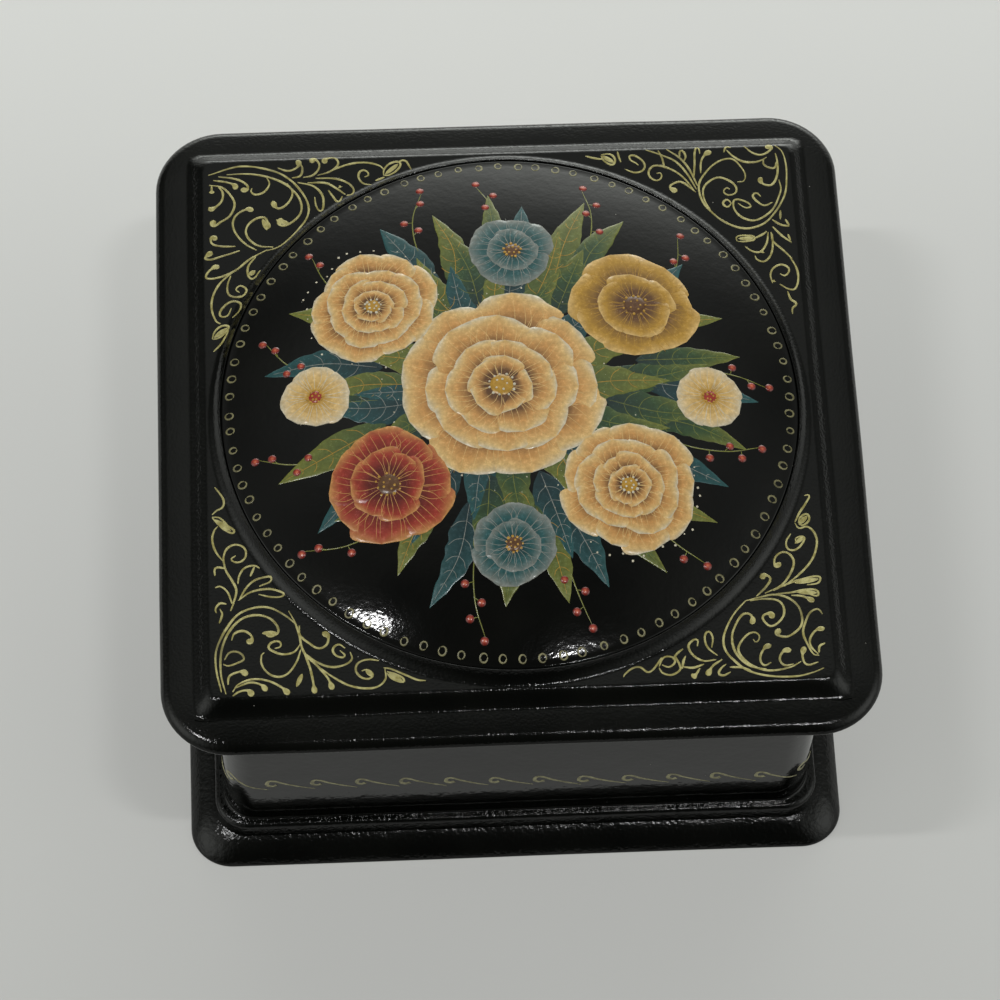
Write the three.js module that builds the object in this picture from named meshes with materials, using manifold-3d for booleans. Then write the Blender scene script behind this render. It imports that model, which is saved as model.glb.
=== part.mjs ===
// Square lacquer jewelry box: a flared plinth, upright walls, and an overhanging lid that carries a raised
// panel with a round domed medallion. A small brass hinge under the back of the lid opens it.
// Millimetres, +Z up, front of the box towards -Y. Origin: middle of the face that it stands on.

import * as THREE from "three";
import { mergeVertices } from "three/addons/utils/BufferGeometryUtils.js";
import Module from "manifold-3d";

const wasm = await Module();
wasm.setup();

// Walls and floor
const WALL_WIDTH = 70; // across the outside of the walls
const WALL_THICKNESS = 3.2;
const WALL_CORNER = 3.8; // outside radius of the upright corners
const WALL_INNER_CORNER = 0.6;
const WALL_HEIGHT = 32.1; // from the floor board to the rim
const FLOOR_THICKNESS = 3;

// Plinth moulding round the foot of the walls
const PLINTH_SPREAD = 4.3; // how far the foot stands out from the walls
const PLINTH_CORNER = 5;
const FOOT_BAND = 0.5; // upright band at the bottom
const FOOT_EASE = 0.2; // rounding under the band
const SHELF_WIDTH = 1.35; // level shelf at the top, from the walls to its edge
const SHELF_STEP = 1.6; // from the shelf down to the round below it
const STEP_RUN = 0.3; // how far the step leans out on its way down
const ROUND_START = 20; // lean of the round's surface at its top and bottom, in degrees from level
const ROUND_END = 70;
const LEDGE_WIDTH = 3; // ledge that the floor board lies on
const LEDGE_HEIGHT = 0.8;

// Lid board with its rounded rim
const LID_OVERHANG = 6; // how far the lid stands out from the walls
const LID_CORNER = 8;
const LID_THICKNESS = 2.6;
const RIM_ROUND = 1.2;

// Raised panel on the lid, with a collar that sweeps up to the medallion
const FLANGE_WIDTH = 3.6; // bare border between the rim and the panel
const PANEL_SLOPE = 1.9; // width of the panel's sloping edge
const PANEL_RISE = 1.4;
const PANEL_FOOT = 0.2; // upright step at the bottom of the slope
const PANEL_CORNER = 0.3;
const COLLAR_MARGIN = 0.1; // from the collar to the panel's upper edge, at the middle of a side
const COLLAR_WIDTH = 1.7;
const COLLAR_RISE = 1.4;
const COLLAR_LAND = 0.25; // level ring at the top of the collar

// Domed medallion
const DOME_RISE = 4.4; // above the collar
const DOME_EASE = 0.45; // rounding of the medallion's edge
const DOME_FULLNESS = 2.6; // 2 is a paraboloid, more is flatter on top
const DOME_GAP = 0.2; // fine groove between the medallion and its collar

// Strips under the lid that drop inside the walls
const LIP_DEPTH = 3;
const LIP_WIDTH = 2;

// Hinge and its fasteners
const HINGE_LENGTH = 30;
const KNUCKLES = 5;
const BARREL_RADIUS = 1.2;
const PIN_RADIUS = 0.6;
const PIN_PROUD = 0.3; // pin past each end of the barrel
const LEAF_THICKNESS = 0.6;
const BODY_LEAF_HEIGHT = 9.5; // below the hinge axis
const NAIL_INSET = 2.6; // from the lower edge of the body's leaf to its nails
const NAILS_PER_LEAF = 4;
const NAIL_HEAD_RADIUS = 0.7;
const NAIL_HEAD_HEIGHT = 0.3;
const NAIL_SHANK_RADIUS = 0.35;
const NAIL_BITE = 1.1; // shank length past the leaf

// Clearances
const SEAM_GAP = 0.2; // between the rim of the walls and the closed lid
const GLUE_GAP = 0.15; // between the walls and the plinth round them
const LIP_CLEARANCE = 0.35; // between the strips under the lid and the walls
const STRIP_GAP = 0.2; // between neighbouring strips under the lid
const KNUCKLE_GAP = 0.3;
const BARREL_CLEARANCE = 0.25; // hollows in the wall and the lid round the barrel
const PIN_CLEARANCE = 0.07;
const LEAF_CLEARANCE = 0.15; // recesses that the leaves are let into
const NAIL_CLEARANCE = 0.12;
const CUT_PAST = 1; // how far a cutting shape runs past the face that it opens

// Smoothness of the facets
const CORNER_STEPS = 6;
const PROFILE_STEPS = 5;
const EDGE_STEPS = 3;
const DOME_RINGS = 9;
const ROUND_STEPS = 60;
const BARREL_STEPS = 20;
const NAIL_STEPS = 10;

// Levels and half widths that follow from the sizes above
const wallHalf = WALL_WIDTH / 2;
const cavityHalf = wallHalf - WALL_THICKNESS;
const floorTop = LEDGE_HEIGHT + FLOOR_THICKNESS;
const footHalf = wallHalf + PLINTH_SPREAD;
const shelfHalf = wallHalf + SHELF_WIDTH;
const roundHalf = shelfHalf + STEP_RUN;
const roundStart = THREE.MathUtils.degToRad(ROUND_START);
const roundEnd = THREE.MathUtils.degToRad(ROUND_END);
const roundRadius = (footHalf - roundHalf) / (Math.sin(roundEnd) - Math.sin(roundStart));
const roundTop = FOOT_BAND + roundRadius * (Math.cos(roundStart) - Math.cos(roundEnd));
const plinthTop = roundTop + SHELF_STEP;
const wallTop = floorTop + WALL_HEIGHT;
const lidUnderside = wallTop + SEAM_GAP;
const lidTop = lidUnderside + LID_THICKNESS;
const lidHalf = wallHalf + LID_OVERHANG;
const panelFootHalf = lidHalf - FLANGE_WIDTH;
const panelHalf = panelFootHalf - PANEL_SLOPE;
const panelTop = lidTop + PANEL_RISE;
const domeRadius = panelHalf - COLLAR_MARGIN - COLLAR_WIDTH - DOME_GAP;
const collarTop = panelTop + COLLAR_RISE;
const hingeY = wallHalf - LEAF_THICKNESS + BARREL_RADIUS;
const hingeZ = lidUnderside + LEAF_THICKNESS - BARREL_RADIUS;
const lidLeafEnd = lidHalf - RIM_ROUND - 2 * LEAF_CLEARANCE;

const lacquer = new THREE.MeshStandardMaterial({ color: 0x171816, roughness: 0.18, metalness: 0 });
const redLacquer = new THREE.MeshStandardMaterial({ color: 0x8a1c12, roughness: 0.25, metalness: 0 });
const paintedLacquer = new THREE.MeshStandardMaterial({ color: 0x1b1d1f, roughness: 0.12, metalness: 0 });
const brass = new THREE.MeshStandardMaterial({ color: 0xb8924a, roughness: 0.32, metalness: 1 });
const steel = new THREE.MeshStandardMaterial({ color: 0x8d8f92, roughness: 0.3, metalness: 1 });

// A closed geometry as a solid that can be joined and cut.
function solid(geometry) {
  const bare = new THREE.BufferGeometry();
  bare.setAttribute("position", geometry.getAttribute("position").clone());
  bare.setIndex(geometry.getIndex());
  const merged = mergeVertices(bare, 1e-4);
  const corners = [];
  const index = merged.getIndex().array;
  for (let i = 0; i < index.length; i += 3) {
    const [a, b, c] = [index[i], index[i + 1], index[i + 2]];
    if (a !== b && b !== c && c !== a) corners.push(a, b, c);
  }
  const vertProperties = new Float32Array(merged.getAttribute("position").array);
  const triVerts = new Uint32Array(corners);
  return new wasm.Manifold(new wasm.Mesh({ numProp: 3, vertProperties, triVerts }));
}

// A solid back as a geometry.
function geometryOf(made) {
  const mesh = made.getMesh();
  const geometry = new THREE.BufferGeometry();
  geometry.setAttribute("position", new THREE.BufferAttribute(new Float32Array(mesh.vertProperties), 3));
  geometry.setIndex(new THREE.BufferAttribute(new Uint32Array(mesh.triVerts), 1));
  geometry.computeVertexNormals();
  return geometry;
}

// The outline of a square with round corners, counter-clockwise from its +X side.
function roundedSquare(half, corner) {
  const reach = half - corner;
  const centres = [[reach, reach], [-reach, reach], [-reach, -reach], [reach, -reach]];
  return centres.flatMap(([x, y], quarter) => {
    const start = quarter * Math.PI / 2;
    return new THREE.EllipseCurve(x, y, corner, corner, start, start + Math.PI / 2).getPoints(CORNER_STEPS);
  });
}

// Skin over a stack of rounded squares, each { half, corner, z }. A ring closes its last square on its first;
// otherwise flat faces close both ends.
function loft(sections, isRing = false) {
  const outlines = sections.map(({ half, corner }) => roundedSquare(half, corner));
  const loops = outlines.map((outline, level) => outline.map(({ x, y }) => [x, y, sections[level].z]));
  const count = loops[0].length;
  const index = [];
  const bands = isRing ? loops.length : loops.length - 1;
  for (let level = 0; level < bands; level++) {
    const below = level * count;
    const above = ((level + 1) % loops.length) * count;
    for (let i = 0; i < count; i++) {
      const next = (i + 1) % count;
      index.push(below + i, below + next, above + next, below + i, above + next, above + i);
    }
  }
  if (!isRing) {
    const top = (loops.length - 1) * count;
    for (let i = 1; i < count - 1; i++) index.push(0, i + 1, i, top, top + i, top + i + 1);
  }
  const geometry = new THREE.BufferGeometry();
  geometry.setAttribute("position", new THREE.Float32BufferAttribute(loops.flat(2), 3));
  geometry.setIndex(index);
  geometry.computeVertexNormals();
  return geometry;
}

// A profile of [radius, height] points turned about Y, and the same stood up to turn about Z.
function lathe(profile, steps) {
  return new THREE.LatheGeometry(profile.map(([radius, height]) => new THREE.Vector2(radius, height)), steps);
}

function revolve(profile) {
  return lathe(profile, ROUND_STEPS).rotateX(Math.PI / 2);
}

// A block between two corners.
function block(low, high) {
  const size = high.map((value, axis) => value - low[axis]);
  const middle = high.map((value, axis) => (value + low[axis]) / 2);
  return new THREE.BoxGeometry(...size).translate(...middle);
}

// A rod along the hinge axis, from one X to another.
function hingeRod(radius, fromX, toX) {
  const rod = new THREE.CylinderGeometry(radius, radius, toX - fromX, BARREL_STEPS);
  return rod.rotateZ(Math.PI / 2).translate((fromX + toX) / 2, hingeY, hingeZ);
}

// Shares from 0 to 1, both ends included, and the same as parts of a quarter turn.
const shares = (count) => Array.from({ length: count + 1 }, (_, i) => i / count);
const quarterTurn = (count) => shares(count).map((t) => t * Math.PI / 2);

// An S-shaped ramp, level at both ends.
const ramp = (t) => t * t * (3 - 2 * t);

// X positions of the nails along a leaf, evenly spread.
const nailSpacing = HINGE_LENGTH / NAILS_PER_LEAF;
const lastNail = (HINGE_LENGTH - nailSpacing) / 2;
const nailPlaces = Array.from({ length: NAILS_PER_LEAF }, (_, i) => i * nailSpacing - lastNail);
const bodyNailZ = hingeZ - BODY_LEAF_HEIGHT + NAIL_INSET;
const lidNailY = (hingeY + BARREL_RADIUS + lidLeafEnd) / 2;

// Knuckles along the barrel: even ones belong to the body's leaf, odd ones to the lid's.
const knuckleLength = HINGE_LENGTH / KNUCKLES;
const knuckles = Array.from({ length: KNUCKLES }, (_, i) => {
  const start = -HINGE_LENGTH / 2 + i * knuckleLength;
  return { onBody: i % 2 === 0, from: start + KNUCKLE_GAP / 2, to: start + knuckleLength - KNUCKLE_GAP / 2 };
});

// The hollow for the barrel, in the wall's top edge and the lid's underside.
function barrelHollow() {
  const reach = HINGE_LENGTH / 2 + PIN_PROUD + BARREL_CLEARANCE;
  return solid(hingeRod(BARREL_RADIUS + BARREL_CLEARANCE, -reach, reach));
}

// A round hole along Y at the body's nails, or along Z at the lid's.
function nailHole(x, forBody) {
  const length = 2 * (NAIL_BITE + LEAF_THICKNESS + NAIL_CLEARANCE);
  const radius = NAIL_SHANK_RADIUS + NAIL_CLEARANCE;
  const hole = new THREE.CylinderGeometry(radius, radius, length, NAIL_STEPS);
  if (forBody) return solid(hole.translate(x, wallHalf, bodyNailZ));
  return solid(hole.rotateX(Math.PI / 2).translate(x, lidNailY, lidUnderside));
}

function wallFrame() {
  const outside = { half: wallHalf, corner: WALL_CORNER };
  const inside = { half: cavityHalf, corner: WALL_INNER_CORNER };
  const tube = loft([
    { ...outside, z: floorTop },
    { ...outside, z: wallTop },
    { ...inside, z: wallTop },
    { ...inside, z: floorTop },
  ], true);
  const leafReach = HINGE_LENGTH / 2 + LEAF_CLEARANCE;
  const leafDepth = LEAF_THICKNESS + LEAF_CLEARANCE;
  const recess = block(
    [-leafReach, wallHalf - leafDepth, hingeZ - BODY_LEAF_HEIGHT - LEAF_CLEARANCE],
    [leafReach, wallHalf + leafDepth, wallTop + SEAM_GAP],
  );
  let made = solid(tube).subtract(solid(recess)).subtract(barrelHollow());
  for (const x of nailPlaces) made = made.subtract(nailHole(x, true));
  return geometryOf(made);
}

function floorBoard() {
  return loft([
    { half: wallHalf, corner: WALL_CORNER, z: LEDGE_HEIGHT },
    { half: wallHalf, corner: WALL_CORNER, z: floorTop },
  ]);
}

// Outside of the plinth from the ground up: eased edge, upright band, round, step and level shelf.
function plinthMoulding() {
  const innerHalf = wallHalf + GLUE_GAP;
  const innerCorner = WALL_CORNER + GLUE_GAP;
  const section = (half, z) => {
    const share = (half - innerHalf) / (footHalf - innerHalf);
    return { half, corner: innerCorner + (PLINTH_CORNER - innerCorner) * share, z };
  };
  const round = shares(PROFILE_STEPS).map((t) => {
    const lean = roundEnd + (roundStart - roundEnd) * t;
    const half = roundHalf + roundRadius * (Math.sin(lean) - Math.sin(roundStart));
    return section(half, roundTop - roundRadius * (Math.cos(roundStart) - Math.cos(lean)));
  });
  const foot = [section(footHalf - FOOT_EASE, 0), section(footHalf, FOOT_EASE)];
  const shelf = [section(shelfHalf, plinthTop), section(innerHalf, plinthTop)];
  const inside = [
    { half: innerHalf, corner: innerCorner, z: LEDGE_HEIGHT },
    { half: innerHalf - LEDGE_WIDTH, corner: innerCorner, z: LEDGE_HEIGHT },
    { half: innerHalf - LEDGE_WIDTH, corner: innerCorner, z: 0 },
  ];
  return loft([...foot, ...round, ...shelf, ...inside], true);
}

function lidBoard() {
  const rim = shares(2 * PROFILE_STEPS).map((t) => {
    const angle = (t - 0.5) * Math.PI;
    const inset = RIM_ROUND * (1 - Math.cos(angle));
    const z = lidUnderside + LID_THICKNESS * (1 + Math.sin(angle)) / 2;
    return { half: lidHalf - inset, corner: LID_CORNER - inset, z };
  });
  const leafReach = HINGE_LENGTH / 2 + LEAF_CLEARANCE;
  const leafDepth = LEAF_THICKNESS + LEAF_CLEARANCE;
  const recess = block(
    [-leafReach, hingeY, lidUnderside - leafDepth],
    [leafReach, lidLeafEnd + LEAF_CLEARANCE, lidUnderside + leafDepth],
  );
  let made = solid(loft(rim)).subtract(solid(recess)).subtract(barrelHollow());
  for (const x of nailPlaces) made = made.subtract(nailHole(x, false));
  return geometryOf(made);
}

// Panel with sharp mitred slopes, a round opening for the medallion and the collar round it.
function lidPanel() {
  const slope = shares(PROFILE_STEPS).map((t) => ({
    half: panelFootHalf - PANEL_SLOPE * t,
    corner: PANEL_CORNER,
    z: lidTop + PANEL_FOOT + (PANEL_RISE - PANEL_FOOT) * ramp(t),
  }));
  const plate = loft([{ half: panelFootHalf, corner: PANEL_CORNER, z: lidTop }, ...slope]);
  const innerRadius = domeRadius + DOME_GAP;
  const landRadius = innerRadius + COLLAR_LAND;
  const sweep = shares(PROFILE_STEPS).map((t) => [
    landRadius + (COLLAR_WIDTH - COLLAR_LAND) * (1 - t),
    panelTop + COLLAR_RISE * ramp(t),
  ]);
  const collar = revolve([[0, lidTop], [innerRadius + COLLAR_WIDTH, lidTop], ...sweep, [0, collarTop]]);
  const [low, high] = [lidTop - CUT_PAST, collarTop + CUT_PAST];
  const opening = revolve([[0, low], [innerRadius, low], [innerRadius, high], [0, high]]);
  return geometryOf(solid(plate).add(solid(collar)).subtract(solid(opening)));
}

function domeMedallion() {
  const edge = quarterTurn(EDGE_STEPS).map((angle) => [
    domeRadius - DOME_EASE * (1 - Math.cos(angle)),
    collarTop - DOME_EASE * (1 - Math.sin(angle)),
  ]);
  const cap = shares(DOME_RINGS).slice(1).map((t) => [
    (domeRadius - DOME_EASE) * (1 - t),
    collarTop + DOME_RISE * (1 - (1 - t) ** DOME_FULLNESS),
  ]);
  return revolve([[0, lidTop], [domeRadius, lidTop], ...edge, ...cap]);
}

// A strip under the lid, centred on X, with its outer face towards -Y at the edge that the walls leave free.
function lipStrip(length) {
  const face = LIP_CLEARANCE - cavityHalf;
  return block([-length / 2, face, lidUnderside - LIP_DEPTH], [length / 2, face + LIP_WIDTH, lidUnderside]);
}

// A leaf's knuckles, bored for the pin, on its plate. The plate is cut clear of the other leaf's knuckles.
function hingeLeaf(plate, onBody) {
  let made = solid(plate);
  for (const { onBody: mine, from, to } of knuckles) {
    if (mine === onBody) made = made.add(solid(hingeRod(BARREL_RADIUS, from, to)));
    else {
      const clear = hingeRod(BARREL_RADIUS + KNUCKLE_GAP, from - KNUCKLE_GAP, to + KNUCKLE_GAP);
      made = made.subtract(solid(clear));
    }
  }
  made = made.subtract(solid(hingeRod(PIN_RADIUS + PIN_CLEARANCE, -HINGE_LENGTH, HINGE_LENGTH)));
  for (const x of nailPlaces) made = made.subtract(nailHole(x, onBody));
  return geometryOf(made);
}

function bodyLeaf() {
  const reach = HINGE_LENGTH / 2 - KNUCKLE_GAP / 2;
  const low = [-reach, wallHalf - LEAF_THICKNESS, hingeZ - BODY_LEAF_HEIGHT];
  return hingeLeaf(block(low, [reach, wallHalf, hingeZ]), true);
}

function lidLeaf() {
  const reach = HINGE_LENGTH / 2 - KNUCKLE_GAP / 2;
  const low = [-reach, hingeY, lidUnderside];
  return hingeLeaf(block(low, [reach, lidLeafEnd, lidUnderside + LEAF_THICKNESS]), false);
}

function hingePin() {
  const length = HINGE_LENGTH + 2 * PIN_PROUD;
  return new THREE.CylinderGeometry(PIN_RADIUS, PIN_RADIUS, length, BARREL_STEPS);
}

// A round-headed nail along +Y, with its head resting at Y = 0.
function nail() {
  const headFoot = NAIL_CLEARANCE / 2;
  const tip = -LEAF_THICKNESS - NAIL_BITE;
  const head = quarterTurn(EDGE_STEPS).slice(0, -1).map((angle) => [
    NAIL_HEAD_RADIUS * Math.cos(angle),
    headFoot + NAIL_HEAD_HEIGHT * Math.sin(angle),
  ]);
  const shank = [[0, tip], [NAIL_SHANK_RADIUS, tip + NAIL_SHANK_RADIUS], [NAIL_SHANK_RADIUS, headFoot]];
  return lathe([...shank, ...head, [0, headFoot + NAIL_HEAD_HEIGHT]], NAIL_STEPS);
}

// The box as a scene graph: what stands still, and what the hinge lifts.
const box = new THREE.Group();
const base = new THREE.Group();
const lid = new THREE.Group();
box.add(base, lid);

function place(group, name, geometry, material) {
  const mesh = new THREE.Mesh(geometry, material);
  mesh.name = name;
  group.add(mesh);
  return mesh;
}

place(base, "wall_frame", wallFrame(), lacquer);
place(base, "floor_board", floorBoard(), redLacquer);
place(base, "plinth_moulding", plinthMoulding(), lacquer);
place(base, "hinge_body_leaf", bodyLeaf(), brass);
const pin = place(base, "hinge_pin", hingePin(), steel);
pin.position.set(0, hingeY, hingeZ);
pin.rotation.z = Math.PI / 2;

place(lid, "lid_board", lidBoard(), lacquer);
place(lid, "lid_panel", lidPanel(), lacquer);
place(lid, "dome_medallion", domeMedallion(), paintedLacquer);
place(lid, "hinge_lid_leaf", lidLeaf(), brass);
const longStrip = 2 * (cavityHalf - WALL_INNER_CORNER - LIP_CLEARANCE);
const shortStrip = 2 * (cavityHalf - LIP_CLEARANCE - LIP_WIDTH - STRIP_GAP);
["front", "right", "back", "left"].forEach((side, turn) => {
  const isLong = turn % 2 === 0;
  const strip = place(lid, `lip_${side}`, lipStrip(isLong ? longStrip : shortStrip), redLacquer);
  strip.rotation.z = turn * Math.PI / 2;
});

nailPlaces.forEach((x, i) => {
  const bodyNail = place(base, `body_nail_${i + 1}`, nail(), brass);
  bodyNail.position.set(x, wallHalf, bodyNailZ);
  const lidNail = place(lid, `lid_nail_${i + 1}`, nail(), brass);
  lidNail.position.set(x, lidNailY, lidUnderside);
  lidNail.rotation.x = -Math.PI / 2;
});

export default box;
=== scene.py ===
import itertools
import math
import random

import bmesh
import bpy
from mathutils import Matrix, Vector, noise
from mathutils.geometry import interpolate_bezier


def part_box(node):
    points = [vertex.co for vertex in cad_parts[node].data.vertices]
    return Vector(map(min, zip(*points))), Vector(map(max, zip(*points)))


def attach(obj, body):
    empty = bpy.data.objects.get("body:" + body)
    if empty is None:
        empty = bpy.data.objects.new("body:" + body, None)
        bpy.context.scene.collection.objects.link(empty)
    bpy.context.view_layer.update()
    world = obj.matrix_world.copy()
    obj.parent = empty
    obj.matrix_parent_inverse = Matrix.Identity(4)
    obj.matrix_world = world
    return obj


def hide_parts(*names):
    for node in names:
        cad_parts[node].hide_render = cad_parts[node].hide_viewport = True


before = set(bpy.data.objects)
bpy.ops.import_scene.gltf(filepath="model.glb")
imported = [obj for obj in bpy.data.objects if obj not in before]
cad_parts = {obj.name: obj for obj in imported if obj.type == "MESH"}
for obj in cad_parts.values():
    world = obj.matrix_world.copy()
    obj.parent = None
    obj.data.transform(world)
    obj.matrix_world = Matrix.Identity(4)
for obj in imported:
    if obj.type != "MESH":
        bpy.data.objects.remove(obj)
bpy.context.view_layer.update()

MM = 0.001


def extent(node):
    """Lowest and highest corner of a solid, in millimetres."""
    low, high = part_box(node)
    return low / MM, high / MM


wall_low, wall_high = extent("wall_frame")
floor_low, floor_high = extent("floor_board")
plinth_low, plinth_high = extent("plinth_moulding")
lid_low, lid_high = extent("lid_board")
panel_high = extent("lid_panel")[1]
dome_low, dome_high = extent("dome_medallion")
leaf_low, leaf_high = extent("hinge_body_leaf")
lid_leaf_high = extent("hinge_lid_leaf")[1]
pin_low, pin_high = extent("hinge_pin")

# Walls
WALL_THICKNESS = 3.2
WALL_CORNER = 3.8
WALL_INNER_CORNER = 0.6
WALL_EASE = 0.35  # rounding of the walls' top edges
FLOOR_EASE = 0.2
wall_half = wall_high.x
cavity_half = wall_half - WALL_THICKNESS
wall_straight = wall_half - WALL_CORNER
wall_side = 2 * wall_straight + WALL_CORNER * math.pi / 2  # from the middle of one corner to the next

# Plinth
PLINTH_CORNER = 5
FOOT_BAND = 0.2
FOOT_EASE = 0.15
SHELF_WIDTH = 1.2
SHELF_ROUND = 0.6  # rounding of the shelf's outer edge
SHELF_FILLET = 0.3  # lacquer gathered in the corner between the shelf and the walls
STEP_RUN = 0.2
ROUND_START = math.radians(19)
ROUND_END = math.radians(60)
LEDGE_WIDTH = 3
foot_half = plinth_high.x
plinth_top = plinth_high.z
shelf_half = wall_half + SHELF_WIDTH
round_half = shelf_half + STEP_RUN
round_radius = (foot_half - round_half) / (math.sin(ROUND_END) - math.sin(ROUND_START))
round_top = FOOT_BAND + round_radius * (math.cos(ROUND_START) - math.cos(ROUND_END))

# Lid board
LID_CORNER = 8
FLANGE_LEAN = math.radians(9)  # the flange falls a little towards the rim
RIM_LEAN = math.radians(69)  # how steep the rim's rounding gets before its lower edge
RIM_RADIUS = 1.5
RIM_EDGE = 0.3  # rounding of the lower edge
RIM_UNDERCUT = 1.1  # how far the rim's underside runs in again
RIM_TURN = math.radians(140)  # where the lower edge's rounding starts, past upright
UNDER_PANEL = 1  # how far the board's top runs in under the panel
CAP_INSET = 2  # the middle of the board's underside starts this far inside the walls
lid_half = lid_high.x
lid_top = lid_high.z
lid_underside = lid_low.z

# Panel and collar
PANEL_SLOPE = 2.3
PANEL_RISE = 1.4
PANEL_CORNER = 0.9
COLLAR_WIDTH = 1.7
COLLAR_ROUND = 0.1  # rounding of the collar's inner edge, beside the groove
GROOVE = 0.06  # the fine dark line between the collar and the dome
SEAT_SINK = 0.03  # how far a shell reaches into the one beside it, so that no light shows between them
panel_foot_half = panel_high.x
panel_half = panel_foot_half - PANEL_SLOPE
panel_top = lid_top + PANEL_RISE
collar_top = panel_high.z

# Dome
DOME_EASE = 0.3
DOME_FULLNESS = 2.6
dome_radius = dome_high.x
dome_rise = dome_high.z - collar_top
collar_inner = dome_radius + GROOVE
collar_land = collar_inner + COLLAR_ROUND
collar_outer = collar_inner + COLLAR_WIDTH

# Hinge
BARREL_CLEARANCE = 0.25
LEAF_CLEARANCE = 0.15
METAL_EASE = 0.06  # rounding of the metal's edges
STRIP_EASE = 0.25
EASE_SEGMENTS = 3
hinge_y = (pin_low.y + pin_high.y) / 2
hinge_z = (pin_low.z + pin_high.z) / 2
barrel_radius = leaf_high.y - hinge_y
leaf_reach = lid_leaf_high.x + LEAF_CLEARANCE
leaf_thickness = lid_leaf_high.z - lid_underside

# Fineness of the shells
CORNER_STEPS = 14
SIDE_STEPS = 40
PROFILE_STEPS = 14
ROUND_STEPS = 320
DOME_RINGS = 44
FIELD_RINGS = 10  # across the panel's level field
WALL_RINGS = 24  # up the outside of the walls
CAVITY_RINGS = 8  # down their inside
EDGE_STEPS = 5  # round the walls' top edges and the shelf's fillet
SMALL_EDGE_STEPS = 4  # round the foot and the collar's inner edge
SHELF_EDGE_STEPS = 6
RIM_EDGE_STEPS = 8
DOME_EDGE_STEPS = 8
ROD_STEPS = 40
SHARP_ANGLE = math.radians(38)
LEVEL_NORMAL = 0.9  # a face counts as level when its normal points up or down by more than this

# Unevenness of boards that were pressed and filed by hand, the same in every run
UNEVEN_SEED = 4
UNEVENNESS = 0.1
UNEVEN_FREQUENCY = 0.045
UNEVEN_UPRIGHT = 0.35  # share of it that goes up and down
STILL_DEPTH = 4  # round the hinge, boards stay true this far in from the back
STILL_FADE = 6
noise.seed_set(UNEVEN_SEED)


def shares(count):
    """Even shares from 0 to 1, both ends included."""
    return [step / count for step in range(count + 1)]


def ramp(t):
    """S-shaped rise from 0 to 1, level at both ends."""
    t = min(max(t, 0), 1)
    return t * t * (3 - 2 * t)


def mix(a, b, t):
    return a + (b - a) * t


def quarter_turn(count):
    return [t * math.pi / 2 for t in shares(count)]


def full_turn(count):
    """Even angles round a circle, the first one not repeated at the end."""
    return [step / count * 2 * math.pi for step in range(count)]


def heading(angle):
    return Vector((math.cos(angle), math.sin(angle)))


# Materials

def srgb(red, green, blue):
    """A screen colour in 0 to 255 as linear light."""
    def linear(value):
        value /= 255
        return value / 12.92 if value <= 0.04045 else ((value + 0.055) / 1.055) ** 2.4
    return linear(red), linear(green), linear(blue)


class Nodes:
    """A node tree, with short calls for what the finishes and the room share."""

    def __init__(self, tree):
        self.tree = tree

    def feed(self, node, **inputs):
        for name, value in inputs.items():
            self.plug(value, node.inputs[name.replace("_", " ")])
        return node

    def plug(self, value, socket):
        if isinstance(value, bpy.types.NodeSocket):
            self.tree.links.new(value, socket)
        elif isinstance(value, tuple) and socket.type == "RGBA":
            socket.default_value = (*value, 1)
        else:
            socket.default_value = value

    def compute(self, operation, first, second):
        node = self.tree.nodes.new("ShaderNodeMath")
        node.operation = operation
        self.plug(first, node.inputs[0])
        self.plug(second, node.inputs[1])
        return node.outputs[0]


class Shading(Nodes):
    """A material, with the textures that the finishes are made of."""

    def __init__(self, name):
        self.material = bpy.data.materials.new(name)
        self.material.use_nodes = True
        super().__init__(self.material.node_tree)
        self.shader = self.tree.nodes["Principled BSDF"]
        self.place = self.tree.nodes.new("ShaderNodeTexCoord").outputs["Object"]

    def finish(self, **inputs):
        """Values and links straight on the shader."""
        self.feed(self.shader, **inputs)

    def cloud(self, size, detail=3, roughness=0.5):
        """Noise whose lumps are about the given size in millimetres."""
        node = self.tree.nodes.new("ShaderNodeTexNoise")
        self.feed(node, Vector=self.place, Scale=1 / (size * MM), Detail=detail, Roughness=roughness)
        return node.outputs["Fac"]

    def span(self, value, low, high, to_low=0, to_high=1):
        node = self.tree.nodes.new("ShaderNodeMapRange")
        self.feed(node, Value=value, From_Min=low, From_Max=high, To_Min=to_low, To_Max=to_high)
        return node.outputs["Result"]

    def blend(self, share, first, second, kind="MIX"):
        node = self.tree.nodes.new("ShaderNodeMix")
        node.data_type = "RGBA"
        node.blend_type = kind
        share_socket, first_socket, second_socket = node.inputs[0], node.inputs[6], node.inputs[7]
        self.plug(share, share_socket)
        self.plug(first, first_socket)
        self.plug(second, second_socket)
        return node.outputs[2]

    def bump(self, height, depth, under=None):
        """Relief of the given depth in millimetres."""
        node = self.tree.nodes.new("ShaderNodeBump")
        self.feed(node, Height=height, Distance=depth * MM, Strength=1.0)
        if under:
            self.plug(under, node.inputs["Normal"])
        return node.outputs["Normal"]

    def dust(self, spacing, share, radius):
        """Specks of dust on some of the points scattered at a spacing: 1 on a speck, 0 elsewhere."""
        points = self.tree.nodes.new("ShaderNodeTexVoronoi")
        self.feed(points, Vector=self.place, Scale=1 / (spacing * MM))
        parts = self.tree.nodes.new("ShaderNodeSeparateColor")
        self.plug(points.outputs["Color"], parts.inputs["Color"])
        chosen = self.compute("LESS_THAN", parts.outputs["Red"], share)
        near = self.compute("LESS_THAN", points.outputs["Distance"], radius / spacing)
        return self.compute("MULTIPLY", chosen, near)


LACQUER_INDEX = 1.35  # index of refraction
VARNISH_INDEX = 1.5  # of the clear lacquer over the colours
DUST = srgb(133, 131, 124)


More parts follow.
